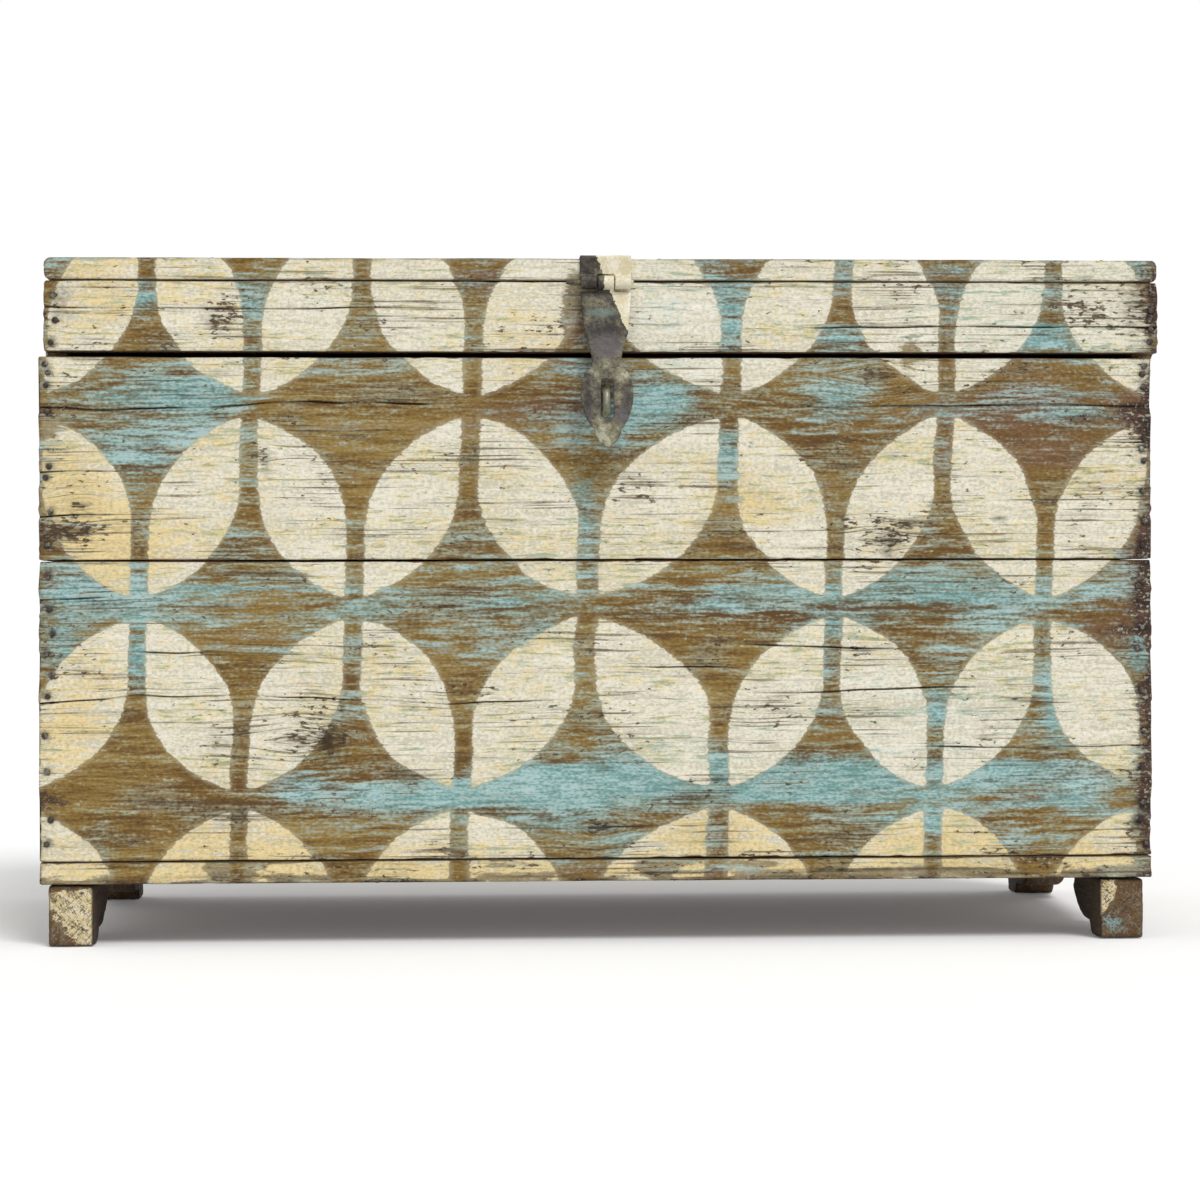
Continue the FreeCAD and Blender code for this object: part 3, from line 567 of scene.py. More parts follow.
# %% The worn surface of a board
# Wood lost: depth, and size along and across the grain, in millimetres
RIDGE, RIDGE_LONG, RIDGE_WIDE = 0.55, 75, 5.5
FINE, FINE_LONG, FINE_WIDE = 0.3, 30, 2.6
WAVE, WAVE_LONG, WAVE_WIDE = 0.7, 260, 38
CHIP, CHIP_LONG, CHIP_WIDE = 1.3, 13, 6
CHIPS_RARE, CHIPS_INLAND, CHIPS_REACH = (0.8, 0.95), 0.25, 18
FRAY, FRAY_WIDE, FRAY_THICK, FRAY_REACH = 2.6, 6, 9, 9
KNOT_DISH, KNOT_FINE, NAIL_DENT = 0.9, 3, 1.1
WEAR_INSIDE = 0.4


def wood_lost(board, groove, knot, dish):
    """How many millimetres of wood wear took from each point."""
    s, w, v, seed = board.s, board.w, board.v, board.seed
    lost = RIDGE * field(s / RIDGE_LONG + seed, v / RIDGE_WIDE + seed) ** 2
    lost = lost + FINE * field(s / FINE_LONG, v / FINE_WIDE + seed)
    lost = lost + WAVE * field(s / WAVE_LONG + seed, v / WAVE_WIDE + seed)
    chips = CHIP * ease(field(s / CHIP_LONG + seed, v / CHIP_WIDE), *CHIPS_RARE)
    lost = lost + chips * (CHIPS_INLAND + np.exp(-board.from_end / CHIPS_REACH))
    lost = np.where(board.inside, WEAR_INSIDE, 1) * lost
    lost = lost + CRACK_DEPTH * groove
    lost = lost + KNOT_DISH * knot * field(s / KNOT_FINE, w / KNOT_FINE)
    if board.name in LOST_CORNERS:
        reach, depth = LOST_CORNERS[board.name]
        lost = lost + board.facing * depth * ease(s, board.length - reach, board.length) ** 2
    return lost + NAIL_DENT * dish


def worn_surface(board, lost, end_round):
    """The board's points in millimetres of the trunk, after wear took wood away."""
    core_w, core_t, away_w, away_t, room = worn_core(board, end_round)
    depth = core_t + away_t * (room - lost)
    fray = field(board.w / FRAY_WIDE + board.seed, 0 * board.s + board.t / FRAY_THICK)
    fray = FRAY * fray * np.exp(-board.from_end / FRAY_REACH)
    along = board.s + np.where(board.s < board.length / 2, fray, -fray)
    points = np.zeros(board.w.shape + (3,))
    points[..., board.grain] = board.low[board.grain] + along
    points[..., board.cross] = board.low[board.cross] + core_w + away_w * (room - lost)
    if board.sign > 0:
        points[..., board.out] = board.low[board.out] + depth
    else:
        points[..., board.out] = board.high[board.out] - depth
    return points


print("ridges", RIDGE, "mm deep, chips", CHIP, "mm, ends frayed by", FRAY, "mm")

# %% What the paint is told about each point of a board
BOARD_FIELDS = ("bare", "worn", "scuff", "dark", "turquoise", "warm", "ruddy", "smear")

# How much each cause wears the paint, and how much it darkens it. The darkening in cracks and
# along edges is dirt and painted shade, in the recess of a crack and in the seams between boards
WORN_BY = {"edge": 0.35, "crack": 0.4, "nail": 0.4, "soil": 0.6}
DARK_BY = {"edge": 0.75, "crack": 1.25, "nail": 0.55, "knot": 0.35, "soil": 0.55}
KNOT_SCUFF = 1.2
CRACK_SEEN = 0.02
SPECK_LONG, SPECK_WIDE = 2.5, 2

# Wear at the two ends of a board, and how far it, the edges' wear and their darkening reach in
# millimetres; that darkening is dirt, and painted shade in the seams between boards
END_WEAR, END_WORN = (0.45, 0.7), 7
END_LEAST, END_RAGGED, RAGGED_WIDE, RAGGED_ROW = 0.3, 1.3, 23, 8.8
EDGE_WORN, EDGE_DARK, END_CLEAN = 2.0, 0.9, 3


def paint_marks(board, groove, knot, stain, painted):
    """How far each point is bare, worn, scuffed, dark, turquoise, warm, ruddy or smeared."""
    s, w, seed = board.s, board.w, board.seed
    marks = {label: np.zeros_like(w) for label in BOARD_FIELDS}
    marks["bare"] += ~np.isin(board.side, painted)
    to_edge = np.minimum(w, board.width - w) + np.minimum(board.t, board.thick - board.t)
    ragged = END_LEAST + END_RAGGED * field(w / RAGGED_WIDE + seed, 0 * s + RAGGED_ROW)
    ends = np.where(s < board.length / 2, *END_WEAR)
    marks["worn"] = (
        ends * np.exp(-board.from_end / (END_WORN * ragged)) + WORN_BY["nail"] * stain
        + WORN_BY["edge"] * np.exp(-to_edge / EDGE_WORN) + WORN_BY["crack"] * (groove > CRACK_SEEN))
    specks = knot * field(s / SPECK_LONG, w / SPECK_WIDE)
    # Darker in cracks (dirt, and painted shade in the recess), round nails (rust) and on knots
    dark = DARK_BY["crack"] * groove + DARK_BY["nail"] * stain + DARK_BY["knot"] * specks
    # Darker along every long edge: dirt, and painted shade in the seams between boards
    grime_and_seam_shade = DARK_BY["edge"] * np.exp(-to_edge / EDGE_DARK) * (board.from_end > END_CLEAN)
    marks["dark"] = np.maximum(np.clip(dark, 0, 1), grime_and_seam_shade)
    marks["scuff"] = KNOT_SCUFF * knot
    return marks


print("the paint is told how far a point is", ", ".join(BOARD_FIELDS))

# %% What the paint is told about the front
FRONT_PATCHES = {
    "turquoise": TURQUOISE_PATCHES, "warm": WARM_PATCHES, "ruddy": RUDDY_PATCHES,
    "scuff": SCUFF_PATCHES, "worn": SOILED_PATCHES, "smear": MISSED_PAINT_AND_SHADOW, "dark": DARK_PATCHES,
}
PATCH_LIMITS = (-1, 1.2)
CREAM_TAKEN_OFF, PEELED_CREAM = 0.5, 0.26

# Sizes along and across the grain in millimetres, and where each begins and is full: gaps in a
# dark mark, soil that rises from the ground, and peeled paint
GAP_LONG, GAP_WIDE, GAPPED = 4, 3, (0.1, 0.5)
SOIL_RISE, SOIL_LONG, SOIL_WIDE, SOILED = (11, 1), 19, 5, (0.2, 0.7)
PEEL_LONG, PEEL_WIDE, PEEL_ROW, PEELED = 48, 7, 2.2, (0.55, 0.85)


def mark_front(board, points, marks):
    """Add the patches of the front to what the paint is told."""
    here = {label: np.clip(spread(points[..., 0], points[..., 2], places), *PATCH_LIMITS)
            for label, places in FRONT_PATCHES.items()}
    for label in ("turquoise", "warm", "ruddy", "worn"):
        marks[label] = marks[label] + here[label]
    gaps = ease(field(board.s / GAP_LONG, board.w / GAP_WIDE + board.seed), *GAPPED)
    marks["dark"] = np.maximum(marks["dark"], here["dark"] * gaps)
    marks["scuff"] = np.maximum(marks["scuff"], here["scuff"])
    marks["smear"] = -CREAM_TAKEN_OFF * here["smear"]


def soil_edge(board, marks):
    """Add dirt and peeled paint on the front edge of the floor, the board nearest the ground."""
    soil = ease(field(board.s / SOIL_LONG + board.seed, board.t / SOIL_WIDE), *SOILED)
    soil = soil * ease(board.thick - board.t, *SOIL_RISE)
    peeled = field(board.s / PEEL_LONG + board.seed, board.t / PEEL_WIDE + PEEL_ROW)
    peeled = ease(peeled, *PEELED)
    marks["smear"] = marks["smear"] - PEELED_CREAM * np.maximum(soil, peeled)
    marks["worn"] = marks["worn"] + WORN_BY["soil"] * soil
    marks["dark"] = np.maximum(marks["dark"], DARK_BY["soil"] * soil ** 2)


print(sum(map(len, FRONT_PATCHES.values())), "patches on the front")

# %% Attributes and UV maps
def set_attribute(mesh, label, values):
    """Keep one number for each vertex."""
    numbers = mesh.attributes.new(label, "FLOAT", "POINT").data
    numbers.foreach_set("value", values.astype(np.float32))


def set_uv(mesh, label, along, across):
    """Keep a place in a flat pattern for each corner of each face."""
    pairs = np.stack([along, across], axis=1).astype(np.float32)
    mesh.uv_layers.new(name=label).data.foreach_set("uv", pairs.ravel())


def corner_vertices(mesh):
    """The number of the vertex at each corner of each face."""
    corners = np.zeros(len(mesh.loops), int)
    mesh.loops.foreach_get("vertex_index", corners)
    return corners


print("attributes are kept for vertices, UV maps for the corners of faces")

# %% The mesh of a board
SHARP_ANGLE = 0.9
GRAIN_APART = (7, 31)


def board_mesh(board, points, marks, stencilled):
    """The rows and stations of a board as a closed mesh, with its UV maps and attributes."""
    around = points.shape[1]
    index = np.arange(points.shape[0] * around).reshape(-1, around)
    after = np.roll(index, -1, axis=1)
    quads = np.stack([index[:-1], after[:-1], after[1:], index[1:]], axis=-1).reshape(-1, 4)
    flat = points.reshape(-1, 3)
    a, b, c, d = (flat[quads[:, corner]] for corner in range(4))
    volume = np.sum(a * np.cross(b, c)) + np.sum(a * np.cross(c, d))
    faces = [list(face) for face in quads] + [list(index[0][::-1]), list(index[-1])]
    if volume < 0:
        faces = [face[::-1] for face in faces]
    mesh = bpy.data.meshes.new(board.name + "_aged")
    mesh.from_pydata((flat * MM).tolist(), [], faces)

    # The grain runs on round the board, so the last column of faces ends one girth on
    corners = corner_vertices(mesh)
    face_of = np.repeat(np.arange(len(faces)), [len(face) for face in faces])
    columns = quads % around
    closing = np.flatnonzero((columns == 0).any(1) & (columns == around - 1).any(1))
    grain_u, grain_v = board.s + board.seed * GRAIN_APART[0], board.v + board.seed * GRAIN_APART[1]
    grain_u, grain_v = (grain_u + 0 * grain_v).ravel()[corners], grain_v.ravel()[corners]
    ends = np.isin(face_of, closing) & (corners % around == 0)
    set_uv(mesh, "Grain", grain_u * MM, np.where(ends, grain_v + board.girth, grain_v) * MM)
    column, row = stencil_place(points, board.out == 0)
    set_uv(mesh, "Stencil", *((stencilled * place).ravel()[corners] for place in (column, row)))
    for label, values in marks.items():
        set_attribute(mesh, label, values.ravel())
    mesh.polygons.foreach_set("use_smooth", np.ones(len(mesh.polygons), bool))
    mesh.set_sharp_from_angle(angle=SHARP_ANGLE)
    return mesh


print("edges over", round(np.degrees(SHARP_ANGLE)), "degrees stay sharp")

# %% A weathered board
END_ROUND = 1.6
STENCIL_STOPS = 1.5


def weathered_board(name, grain, out, sign, painted, rows, slot, end_round=END_ROUND,
                    along=GRAIN_STEP):
    """A board in the place of a CAD node, worn along its grain."""
    board = board_grid(name, grain, out, sign, rows, along)
    groove, knot = open_cracks(board), swirl_knots(board)
    dish, stain = nail_marks(board)
    points = worn_surface(board, wood_lost(board, groove, knot, dish), end_round)
    marks = paint_marks(board, groove, knot, stain, painted)
    if out == 1 and sign < 0 or "low" in painted:
        mark_front(board, points, marks)
    if slot == "bare_planks" and "low" in painted:
        soil_edge(board, marks)
    stencilled = slot in ("painted_walls", "painted_lid") or "low" in painted
    return board_mesh(board, points, marks, stencilled & (points[..., 1] < BACK - STENCIL_STOPS))


print("ends rounded by", END_ROUND, "mm")

# %% [markdown]
# ## Milk paint on old pine
#
# Three coats lie on the wood: chalky turquoise, a thin olive brown and the cream of the petals.
# Casein paint is dead flat, so roughness is high. The coats could be painted by hand as textures.
# Here each one is a mask over the coat below, and all masks are made in one way: fields are added
# up by their shares, and the sum is stretched from where the mask starts to where it is full. Most
# fields are noise drawn out along the grain, because a brush drags over the ridges and hands rub
# them bare. The others come from the board: its worn ends, its scuffs and its patches of turquoise.

# %% Fields along the grain
# Each field: millimetres along the grain, millimetres across it, detail. A single fibre is finer
# than a pixel, so fibre and hair are drawn about three times as coarse as real grain.
GRAIN_FIELDS = {
    "fibre": (4, 2.0, 3), "hair": (25, 3.0, 4), "streak": (105, 8, 4), "band": (420, 34, 2),
    "patch": (115, 42, 3), "chip": (9, 4.2, 5), "cluster": (70, 30, 3), "line": (140, 2.4, 4),
    "fleck": (3.5, 3, 3), "dab": (14, 8, 3), "hand": (75, 60, 1),
}

# Scales of flaking paint: millimetres along and across, how far chips bend them, and their gaps
CRACKLE = (13, 6.5)
CRACKLE_BENT = 0.9
CRACKLE_GAP = {"From Min": 0.10, "From Max": 0.02}


def grain_fields(add):
    """Noise drawn out along the grain, flaking scales, and what the board says of its places."""
    metres = add("ShaderNodeUVMap", uv_map="Grain")
    grain = add("ShaderNodeVectorMath", {0: metres, 1: (1 / MM, 1 / MM, 0)}, operation="MULTIPLY")
    masks = {}
    for name, (along, across, detail) in GRAIN_FIELDS.items():
        place = add("ShaderNodeVectorMath", {0: grain, 1: (1 / along, 1 / across, 0)},
                    operation="MULTIPLY")
        masks[name] = add("ShaderNodeTexNoise", {"Vector": place, "Scale": 1.0, "Detail": detail},
                          noise_dimensions="2D").outputs[0]
    for name in BOARD_FIELDS:
        masks[name] = add("ShaderNodeAttribute", attribute_name=name).outputs["Fac"]
    scales = add("ShaderNodeVectorMath", {0: grain, 1: (1 / CRACKLE[0], 1 / CRACKLE[1], 0)},
                 operation="MULTIPLY")
    bent = {0: masks["chip"], 1: (CRACKLE_BENT, CRACKLE_BENT, 0), 2: scales}
    scales = add("ShaderNodeVectorMath", bent, operation="MULTIPLY_ADD")
    scales = add("ShaderNodeTexVoronoi", {"Vector": scales, "Scale": 1.0}, voronoi_dimensions="2D",
                 feature="DISTANCE_TO_EDGE")
    masks["crackle"] = add("ShaderNodeMapRange", {"Value": scales, **CRACKLE_GAP})
    return masks


print(len(GRAIN_FIELDS), "fields of noise,", len(BOARD_FIELDS), "from the boards")

# %% Petals
# A petal in one cell of the stencil's grid: the middle and half axes of the curve on one side of
# it, how soft its tip is, and how far the hand that laid the stencil wandered
PETAL_MIDDLE = (1.36, 0.38, 0)
PETAL_AXES = (1.30, 0.61)
PETAL_TIP = 0.05
PETAL_STEM = (-9, 0, 0)
HAND_WANDER = 0.05

# How far outside and inside the curve the paint fades: on the petal, and in the haze round it
PETAL_FADES = {"petal": (0.095, -0.03), "near_petal": (0.08, -0.02)}


def add_petals(add, masks):
    """Petals with a quarter of an ellipse on each side, which runs out straight along the stem."""
    grid = add("ShaderNodeUVMap", uv_map="Stencil")
    by_hand = {0: masks["hand"], 1: (HAND_WANDER, HAND_WANDER, 0), 2: grid}
    drawn = add("ShaderNodeVectorMath", by_hand, operation="MULTIPLY_ADD")
    cell = add("ShaderNodeVectorMath", {0: drawn, 1: (HAND_WANDER / 2, HAND_WANDER / 2, 0)},
               operation="SUBTRACT")
    sides = add("ShaderNodeSeparateXYZ", {0: cell}).outputs
    folds = [add("ShaderNodeMath", {0: sides[axis], 1: 1.0}, operation="PINGPONG")
             for axis in (0, 1)]
    folded = add("ShaderNodeCombineXYZ", {0: folds[0], 1: folds[1]})
    curves = []
    for turn, start in (((1, -1, 0), (0, 1, 0)), ((-1, 1, 0), (1, 0, 0))):
        turned = add("ShaderNodeVectorMath", {0: folded, 1: turn, 2: start},
                     operation="MULTIPLY_ADD")
        reach = add("ShaderNodeVectorMath", {0: turned, 1: PETAL_MIDDLE}, operation="SUBTRACT")
        reach = add("ShaderNodeVectorMath", {0: reach, 1: PETAL_STEM}, operation="MAXIMUM")
        reach = add("ShaderNodeVectorMath",
                    {0: reach, 1: (1 / PETAL_AXES[0], 1 / PETAL_AXES[1], 0)}, operation="MULTIPLY")
        curves.append(add("ShaderNodeVectorMath", {0: reach}, operation="LENGTH").outputs["Value"])
    edge = add("ShaderNodeMath", {0: curves[0], 1: curves[1], 2: PETAL_TIP}, operation="SMOOTH_MAX")
    for label, (outer, inner) in PETAL_FADES.items():
        limits = {"Value": edge, "From Min": 1 + outer, "From Max": 1 + inner}
        masks[label] = add("ShaderNodeMapRange", limits)


print("masks drawn from the petals:", ", ".join(PETAL_FADES))

# %% Masks of the paint
# Each mask: the shares of its fields, where it starts, where it is full, how much it covers
PAINT_MASKS = {
    "wood_tone": ({"fibre": 0.25, "hair": 0.4, "streak": 0.35}, 0.36, 0.66, 1),
    "brown_tone": ({"fibre": 0.2, "hair": 0.25, "streak": 0.3, "band": 0.25}, 0.34, 0.66, 1),
    "teal_tone": ({"fibre": 0.35, "hair": 0.4, "patch": 0.25}, 0.37, 0.63, 1),
    "cream_tone": ({"fibre": 0.2, "fleck": 0.24, "hair": 0.22, "dab": 0.12, "streak": 0.22},
                   0.41, 0.58, 1),
    "reddened": ({"band": 0.45, "streak": 0.3, "hair": 0.25, "ruddy": 0.2}, 0.54, 0.70, 0.85),
    "teal_shows": ({"hair": 0.28, "fibre": 0.1, "fleck": 0.08, "streak": 0.32, "patch": 0.24,
                    "band": 0.14, "turquoise": 0.18}, 0.545, 0.75, 0.97),
    "scratched": ({"fibre": 0.3, "hair": 0.35, "line": 0.35, "worn": 0.06}, 0.56, 0.69, 0.45),
    "chalky": ({"cluster": 0.38, "hair": 0.27, "fibre": 0.15, "fleck": 0.2}, 0.47, 0.66, 0.6),
    "hazed": ({"near_petal": 1, "hair": -0.5, "cluster": -0.5}, 0.1, 0.7, 0.4),
    "cream_left": ({"petal": 1, "smear": 1, "hair": -0.26, "fibre": -0.16, "streak": -0.2,
                    "chip": -0.16, "patch": -0.16, "worn": -0.18, "scuff": -0.06}, 0.395, 0.475, 1),
    "yellowed": ({"patch": 0.25, "streak": 0.25, "hair": 0.3, "dab": 0.2, "warm": 0.14},
                 0.46, 0.62, 1),
    "thinned": ({"streak": 0.25, "hair": 0.4, "fibre": 0.2, "patch": 0.15, "warm": -0.04},
                0.51, 0.64, 0.9),
    "lined": ({"line": 0.55, "cluster": 0.3, "fleck": 0.1, "worn": 0.05, "scuff": 0.05},
              0.53, 0.625, 0.8),
    "chipped": ({"chip": 0.5, "cluster": 0.3, "hair": 0.2, "worn": 0.08, "scuff": 0.12,
                 "crackle": 0.045}, 0.625, 0.685, 0.92),
    "ends_bare": ({"worn": 0.4, "chip": 0.45, "hair": 0.4, "fleck": 0.25}, 0.77, 0.93, 1),
    "flecked": ({"fleck": 0.45, "hair": 0.3, "chip": 0.25, "worn": 0.06}, 0.60, 0.68, 0.75),
}


def add_masks(add, masks, recipes):
    """Add up fields by their shares, and stretch each sum from a mask's start to its end."""
    for name, (shares, start, end, cover) in recipes.items():
        total = 0.0
        for label, share in shares.items():
            total = add("ShaderNodeMath", {0: masks[label], 1: share, 2: total},
                        operation="MULTIPLY_ADD")
        limits = {"Value": total, "From Min": start, "From Max": end, "To Max": cover}
        masks[name] = add("ShaderNodeMapRange", limits, interpolation_type="SMOOTHSTEP")


print(len(PAINT_MASKS), "masks of the paint")

# %% Coats of the paint
# Each coat, from the wood up: its colours from low to high tone, that tone, and the mask it covers
PAINT_COATS = (
    (("#604422", "#846834", "#9a8149", "#b3a271"), "brown_tone", None),
    (("#5e3f2b", "#735138", "#876a4c"), "brown_tone", "reddened"),
    (("#6a9592", "#8bb4b2", "#b8d6d6"), "teal_tone", "teal_shows"),
    (("#3f2d1d", "#5f4830", "#7d6343"), "wood_tone", "scratched"),
    (("#919a86", "#b4beae"), "wood_tone", "chalky"),
    (("#bdb699", "#cfc8ab"), "cream_tone", "hazed"),
    (("#d5cfb6", "#e9e3ce", "#f3edda", "#fbf7ea"), "cream_tone", "cream_left"),
)
LATE_COATS = (
    (("#3c2d20", "#6a563a", "#94845f"), "wood_tone", "lined"),
    (("#2e2118", "#4f3b2a", "#6d553c"), "wood_tone", "chipped"),
    (("#33241e", "#4c372e", "#674d40"), "wood_tone", "ends_bare"),
    (("#869b90", "#b9bda6", "#ddd4b4"), "fibre", "flecked"),
    (("#5b4630", "#86694a", "#a58a66"), "wood_tone", "bare"),
)
CREAM_TINTS = (("yellowed", "#fae8bc"), ("thinned", "#a8c9c6"))
# The colour of the dark marks: dirt, rust and knots, and painted shade in cracks, seams, holes, the
# hasp's slot and on the inner sides of the feet
DARK_DIRT_AND_SHADE = "#1d140e"


def paint_colour(add, masks):
    """The coats laid over each other, each in the places that its mask covers."""
    colour = None
    for hexes, tone, mask in PAINT_COATS + LATE_COATS:
        stops = [(place / (len(hexes) - 1), hex_colour) for place, hex_colour in enumerate(hexes)]
        coat = add("ShaderNodeValToRGB", {"Fac": masks[tone]}, stops=stops)
        for tint, hex_colour in CREAM_TINTS if mask == "cream_left" else ():
            coat = add("ShaderNodeMix", {"Factor": masks[tint], "A": coat, "B": linear(hex_colour)},
                       data_type="RGBA", blend_type="MULTIPLY")
        colour = add("ShaderNodeMix", {"Factor": masks[mask], "A": colour, "B": coat},
                     data_type="RGBA") if mask else coat
    # Last the dark marks, partly painted shade
    return add("ShaderNodeMix", {"Factor": masks["dark"], "A": colour, "B": linear(DARK_DIRT_AND_SHADE)},
               data_type="RGBA")


print(len(PAINT_COATS), "coats,", len(LATE_COATS), "kinds of wear over them")

# %% Milk paint
# How far each mask stands up from the board, and what a full mask stands for in millimetres
PAINT_RELIEF = {
    "cream_left": 0.45, "hair": 0.35, "streak": 0.4, "fibre": 0.15, "dab": 0.5, "chipped": -0.7,
    "lined": -0.6,
}
RELIEF_HEIGHT = 1.0
RELIEF_STRENGTH = 0.6

# Casein paint dries flat, a little smoother on some fibres than on others
PAINT_ROUGH = {"From Min": 0.3, "From Max": 0.7, "To Min": 0.74, "To Max": 0.94}
PAINT_GLOSS = {"IOR": 1.5, "Specular IOR Level": 0.35}


def milk_paint():
    """Casein milk paint, three coats on pine: flat, chalky colour, worn through along the grain."""
    material, tree = new_material("milk_paint_on_pine")
    add = partial(node, tree)
    masks = grain_fields(add)
    add_petals(add, masks)
    add_masks(add, masks, PAINT_MASKS)
    height = 0.0
    for label, share in PAINT_RELIEF.items():
        height = add("ShaderNodeMath", {0: masks[label], 1: share, 2: height},
                     operation="MULTIPLY_ADD")
    relief = add("ShaderNodeBump", {"Height": height, "Strength": RELIEF_STRENGTH,
                                    "Distance": RELIEF_HEIGHT * MM})
    rough = add("ShaderNodeMapRange", {"Value": masks["hair"], **PAINT_ROUGH})
    shader = add("ShaderNodeBsdfPrincipled", {"Base Color": paint_colour(add, masks),
                                              "Roughness": rough, "Normal": relief, **PAINT_GLOSS})
    add("ShaderNodeOutputMaterial", {"Surface": shader})
    return material


paint = milk_paint()
print(paint.name, len(paint.node_tree.nodes), "nodes")

# %% [markdown]
# ## The boards of the trunk
#
# The front and back boards cover the end boards, the lid's planks lie on its frame, and the floor's
# planks lie under the walls. Each could be modelled on its own, but they differ only in which way
# the grain runs (0 across the trunk, 1 from front to back), which way the face looks out and which
# sides were painted. So a table says that of each one, and one function makes them all, with finer
# rows on the faces that are looked at most.

# %% Every board of the trunk
boards = {}
for level in ("lower", "upper"):
    boards[f"front_board_{level}"] = dict(
        grain=0, out=1, sign=-1, painted=("outer",), rows=1.4, slot="painted_walls")
    boards[f"back_board_{level}"] = dict(
        grain=0, out=1, sign=1, painted=("outer",), rows=2.4, slot="worn_back", along=6)
    for side, sign in (("left", -1), ("right", 1)):
        boards[f"{side}_end_board_{level}"] = dict(
            grain=1, out=0, sign=sign, painted=("outer",), rows=1.8, slot="painted_walls")
for place, edge in (("front", "low"), ("middle", ""), ("rear", "high")):
    boards[f"floor_plank_{place}"] = dict(
        grain=0, out=2, sign=-1, painted=(edge,), rows=4, slot="bare_planks")
    boards[f"lid_plank_{place}"] = dict(
        grain=0, out=2, sign=1, painted=("outer", edge), rows=2.0, slot="painted_lid", end_round=7)
for place, out, sign in (("front", 1, -1), ("back", 1, 1), ("left", 0, -1), ("right", 0, 1)):
    boards[f"lid_{place}_rail"] = dict(
        grain=1 - out, out=out, sign=sign, painted=("outer",), rows=1.5, slot="painted_lid")
for side in ("left", "right"):
    boards[f"lid_batten_{side}"] = dict(
        grain=1, out=2, sign=-1, painted=(), rows=3, slot="bare_planks")


def dress(piece, name, material):
    """Give a finished piece its material, and let it stand for its CAD node."""
    piece.data.materials.append(material)
    pieces[name] = piece
    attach(piece, frame["nodes"][name]["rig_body"])
    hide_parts(name)
    print(name, len(piece.data.polygons), "faces")


for name, how in boards.items():
    piece = bpy.data.objects.new(name + "_aged", weathered_board(name, **how))
    bpy.context.scene.collection.objects.link(piece)
    dress(piece, name, paint)

# %% [markdown]
# ## Feet and ironwork from their CAD solids
#
# The feet were sawn and rasped, the hasp and hinges hammered from flat bar, so none of them has a
# sharp or perfectly flat edge. They could be modelled again, but their CAD solids already have the
# right curves. A copy of each solid is welded, remeshed in small cubes and smoothed, which rounds
# its edges as years of hands do, and a fine field then takes a little off the surface: rasp marks
# on the feet, hammer dents on the iron.

# %% Rounding a CAD solid
WELD = 0.01
RUB = 0.5


def softened(name, cube, passes):
    """A copy of a CAD node as one even, slightly rounded skin, cubes in millimetres."""
    source = frame["nodes"][name]
    copy = bpy.data.objects.new(name + "_aged", source.data.copy())
    bpy.context.scene.collection.objects.link(copy)
    weld = copy.modifiers.new("weld", "WELD")
    weld.merge_threshold = WELD * MM
    skin = copy.modifiers.new("skin", "REMESH")
    skin.mode = "VOXEL"
    skin.voxel_size = cube * MM
    skin.use_smooth_shade = True
    rub = copy.modifiers.new("rub", "SMOOTH")
    rub.factor = RUB
    rub.iterations = passes
    bpy.context.view_layer.update()
    seen = copy.evaluated_get(bpy.context.evaluated_depsgraph_get())
    mesh = bpy.data.meshes.new_from_object(seen)
    mesh.name = name + "_aged"
    copy.modifiers.clear()
    copy.data = mesh
    copy.data.materials.clear()
    return copy


def skin_points(mesh):
    """The places and normals of a mesh's vertices, places in millimetres."""
    places = np.zeros(len(mesh.vertices) * 3)
    normals = np.zeros(len(mesh.vertices) * 3)
    mesh.vertices.foreach_get("co", places)
    mesh.vertices.foreach_get("normal", normals)
    return places.reshape(-1, 3) / MM, normals.reshape(-1, 3)


def set_points(mesh, places):
    """Move a mesh's vertices to places in millimetres."""
    mesh.vertices.foreach_set("co", (places * MM).ravel())
    mesh.update()


print("corners closer than", WELD, "mm are welded")

# %% [markdown]
# ## Bracket feet
#
# The feet are thick brackets, sawn to a curve and painted brown, with cream dabbed on the front
# ones by a rough brush. The dabs could be a mesh of their own, but dried paint has no thickness to
# speak of. So the feet take the boards' paint, and each vertex says how much of the cream it has.

# %% Cream on the feet
# Each front foot was dabbed with cream above a slanting line: a place on it, its height and slope
LEFT_DAB, LEFT_DAB_TOP = (-499, 32, -1.25), (55, 50)
RIGHT_DAB, RIGHT_DAB_END = (460, 19, 1.25), (478, 473)
DAB_SOFT = 2

# The dabs' ragged edge: how far it strays, and over how many millimetres across and up
BRUSH, BRUSH_WIDE, BRUSH_HIGH, BRUSH_ROW = 9, 5, 4, 7
BRISTLE, BRISTLE_WIDE, BRISTLE_HIGH, BRISTLE_ROW = 6, 2.1, 1.7, 3
ROUGH_LEFT, ROUGH_RIGHT, ROUGH_END = 1, 0.6, 0.5


def foot_cream(name, x, z):
    """Where cream is left on the front of a foot, dabbed on with a rough brush."""
    rough = BRUSH * (field(x / BRUSH_WIDE, z / BRUSH_HIGH + BRUSH_ROW) - 0.5)
    bristles = field(x / BRISTLE_WIDE + BRISTLE_ROW, z / BRISTLE_HIGH) - 0.5
    rough = rough + BRISTLE * bristles
    if name == "foot_front_left":
        (place, height, slope), share = LEFT_DAB, ROUGH_LEFT
        stops = ease(z + ROUGH_END * rough, *LEFT_DAB_TOP)
    elif name == "foot_front_right":
        (place, height, slope), share = RIGHT_DAB, ROUGH_RIGHT
        stops = ease(x + ROUGH_END * rough, *RIGHT_DAB_END)
    else:
        return 0 * x
    above = z - (height + slope * (x - place)) + share * rough
    return stops * ease(above, -DAB_SOFT, DAB_SOFT)


print("cream on the left foot from", LEFT_DAB[1], "mm up, on the right from", RIGHT_DAB[1], "mm")

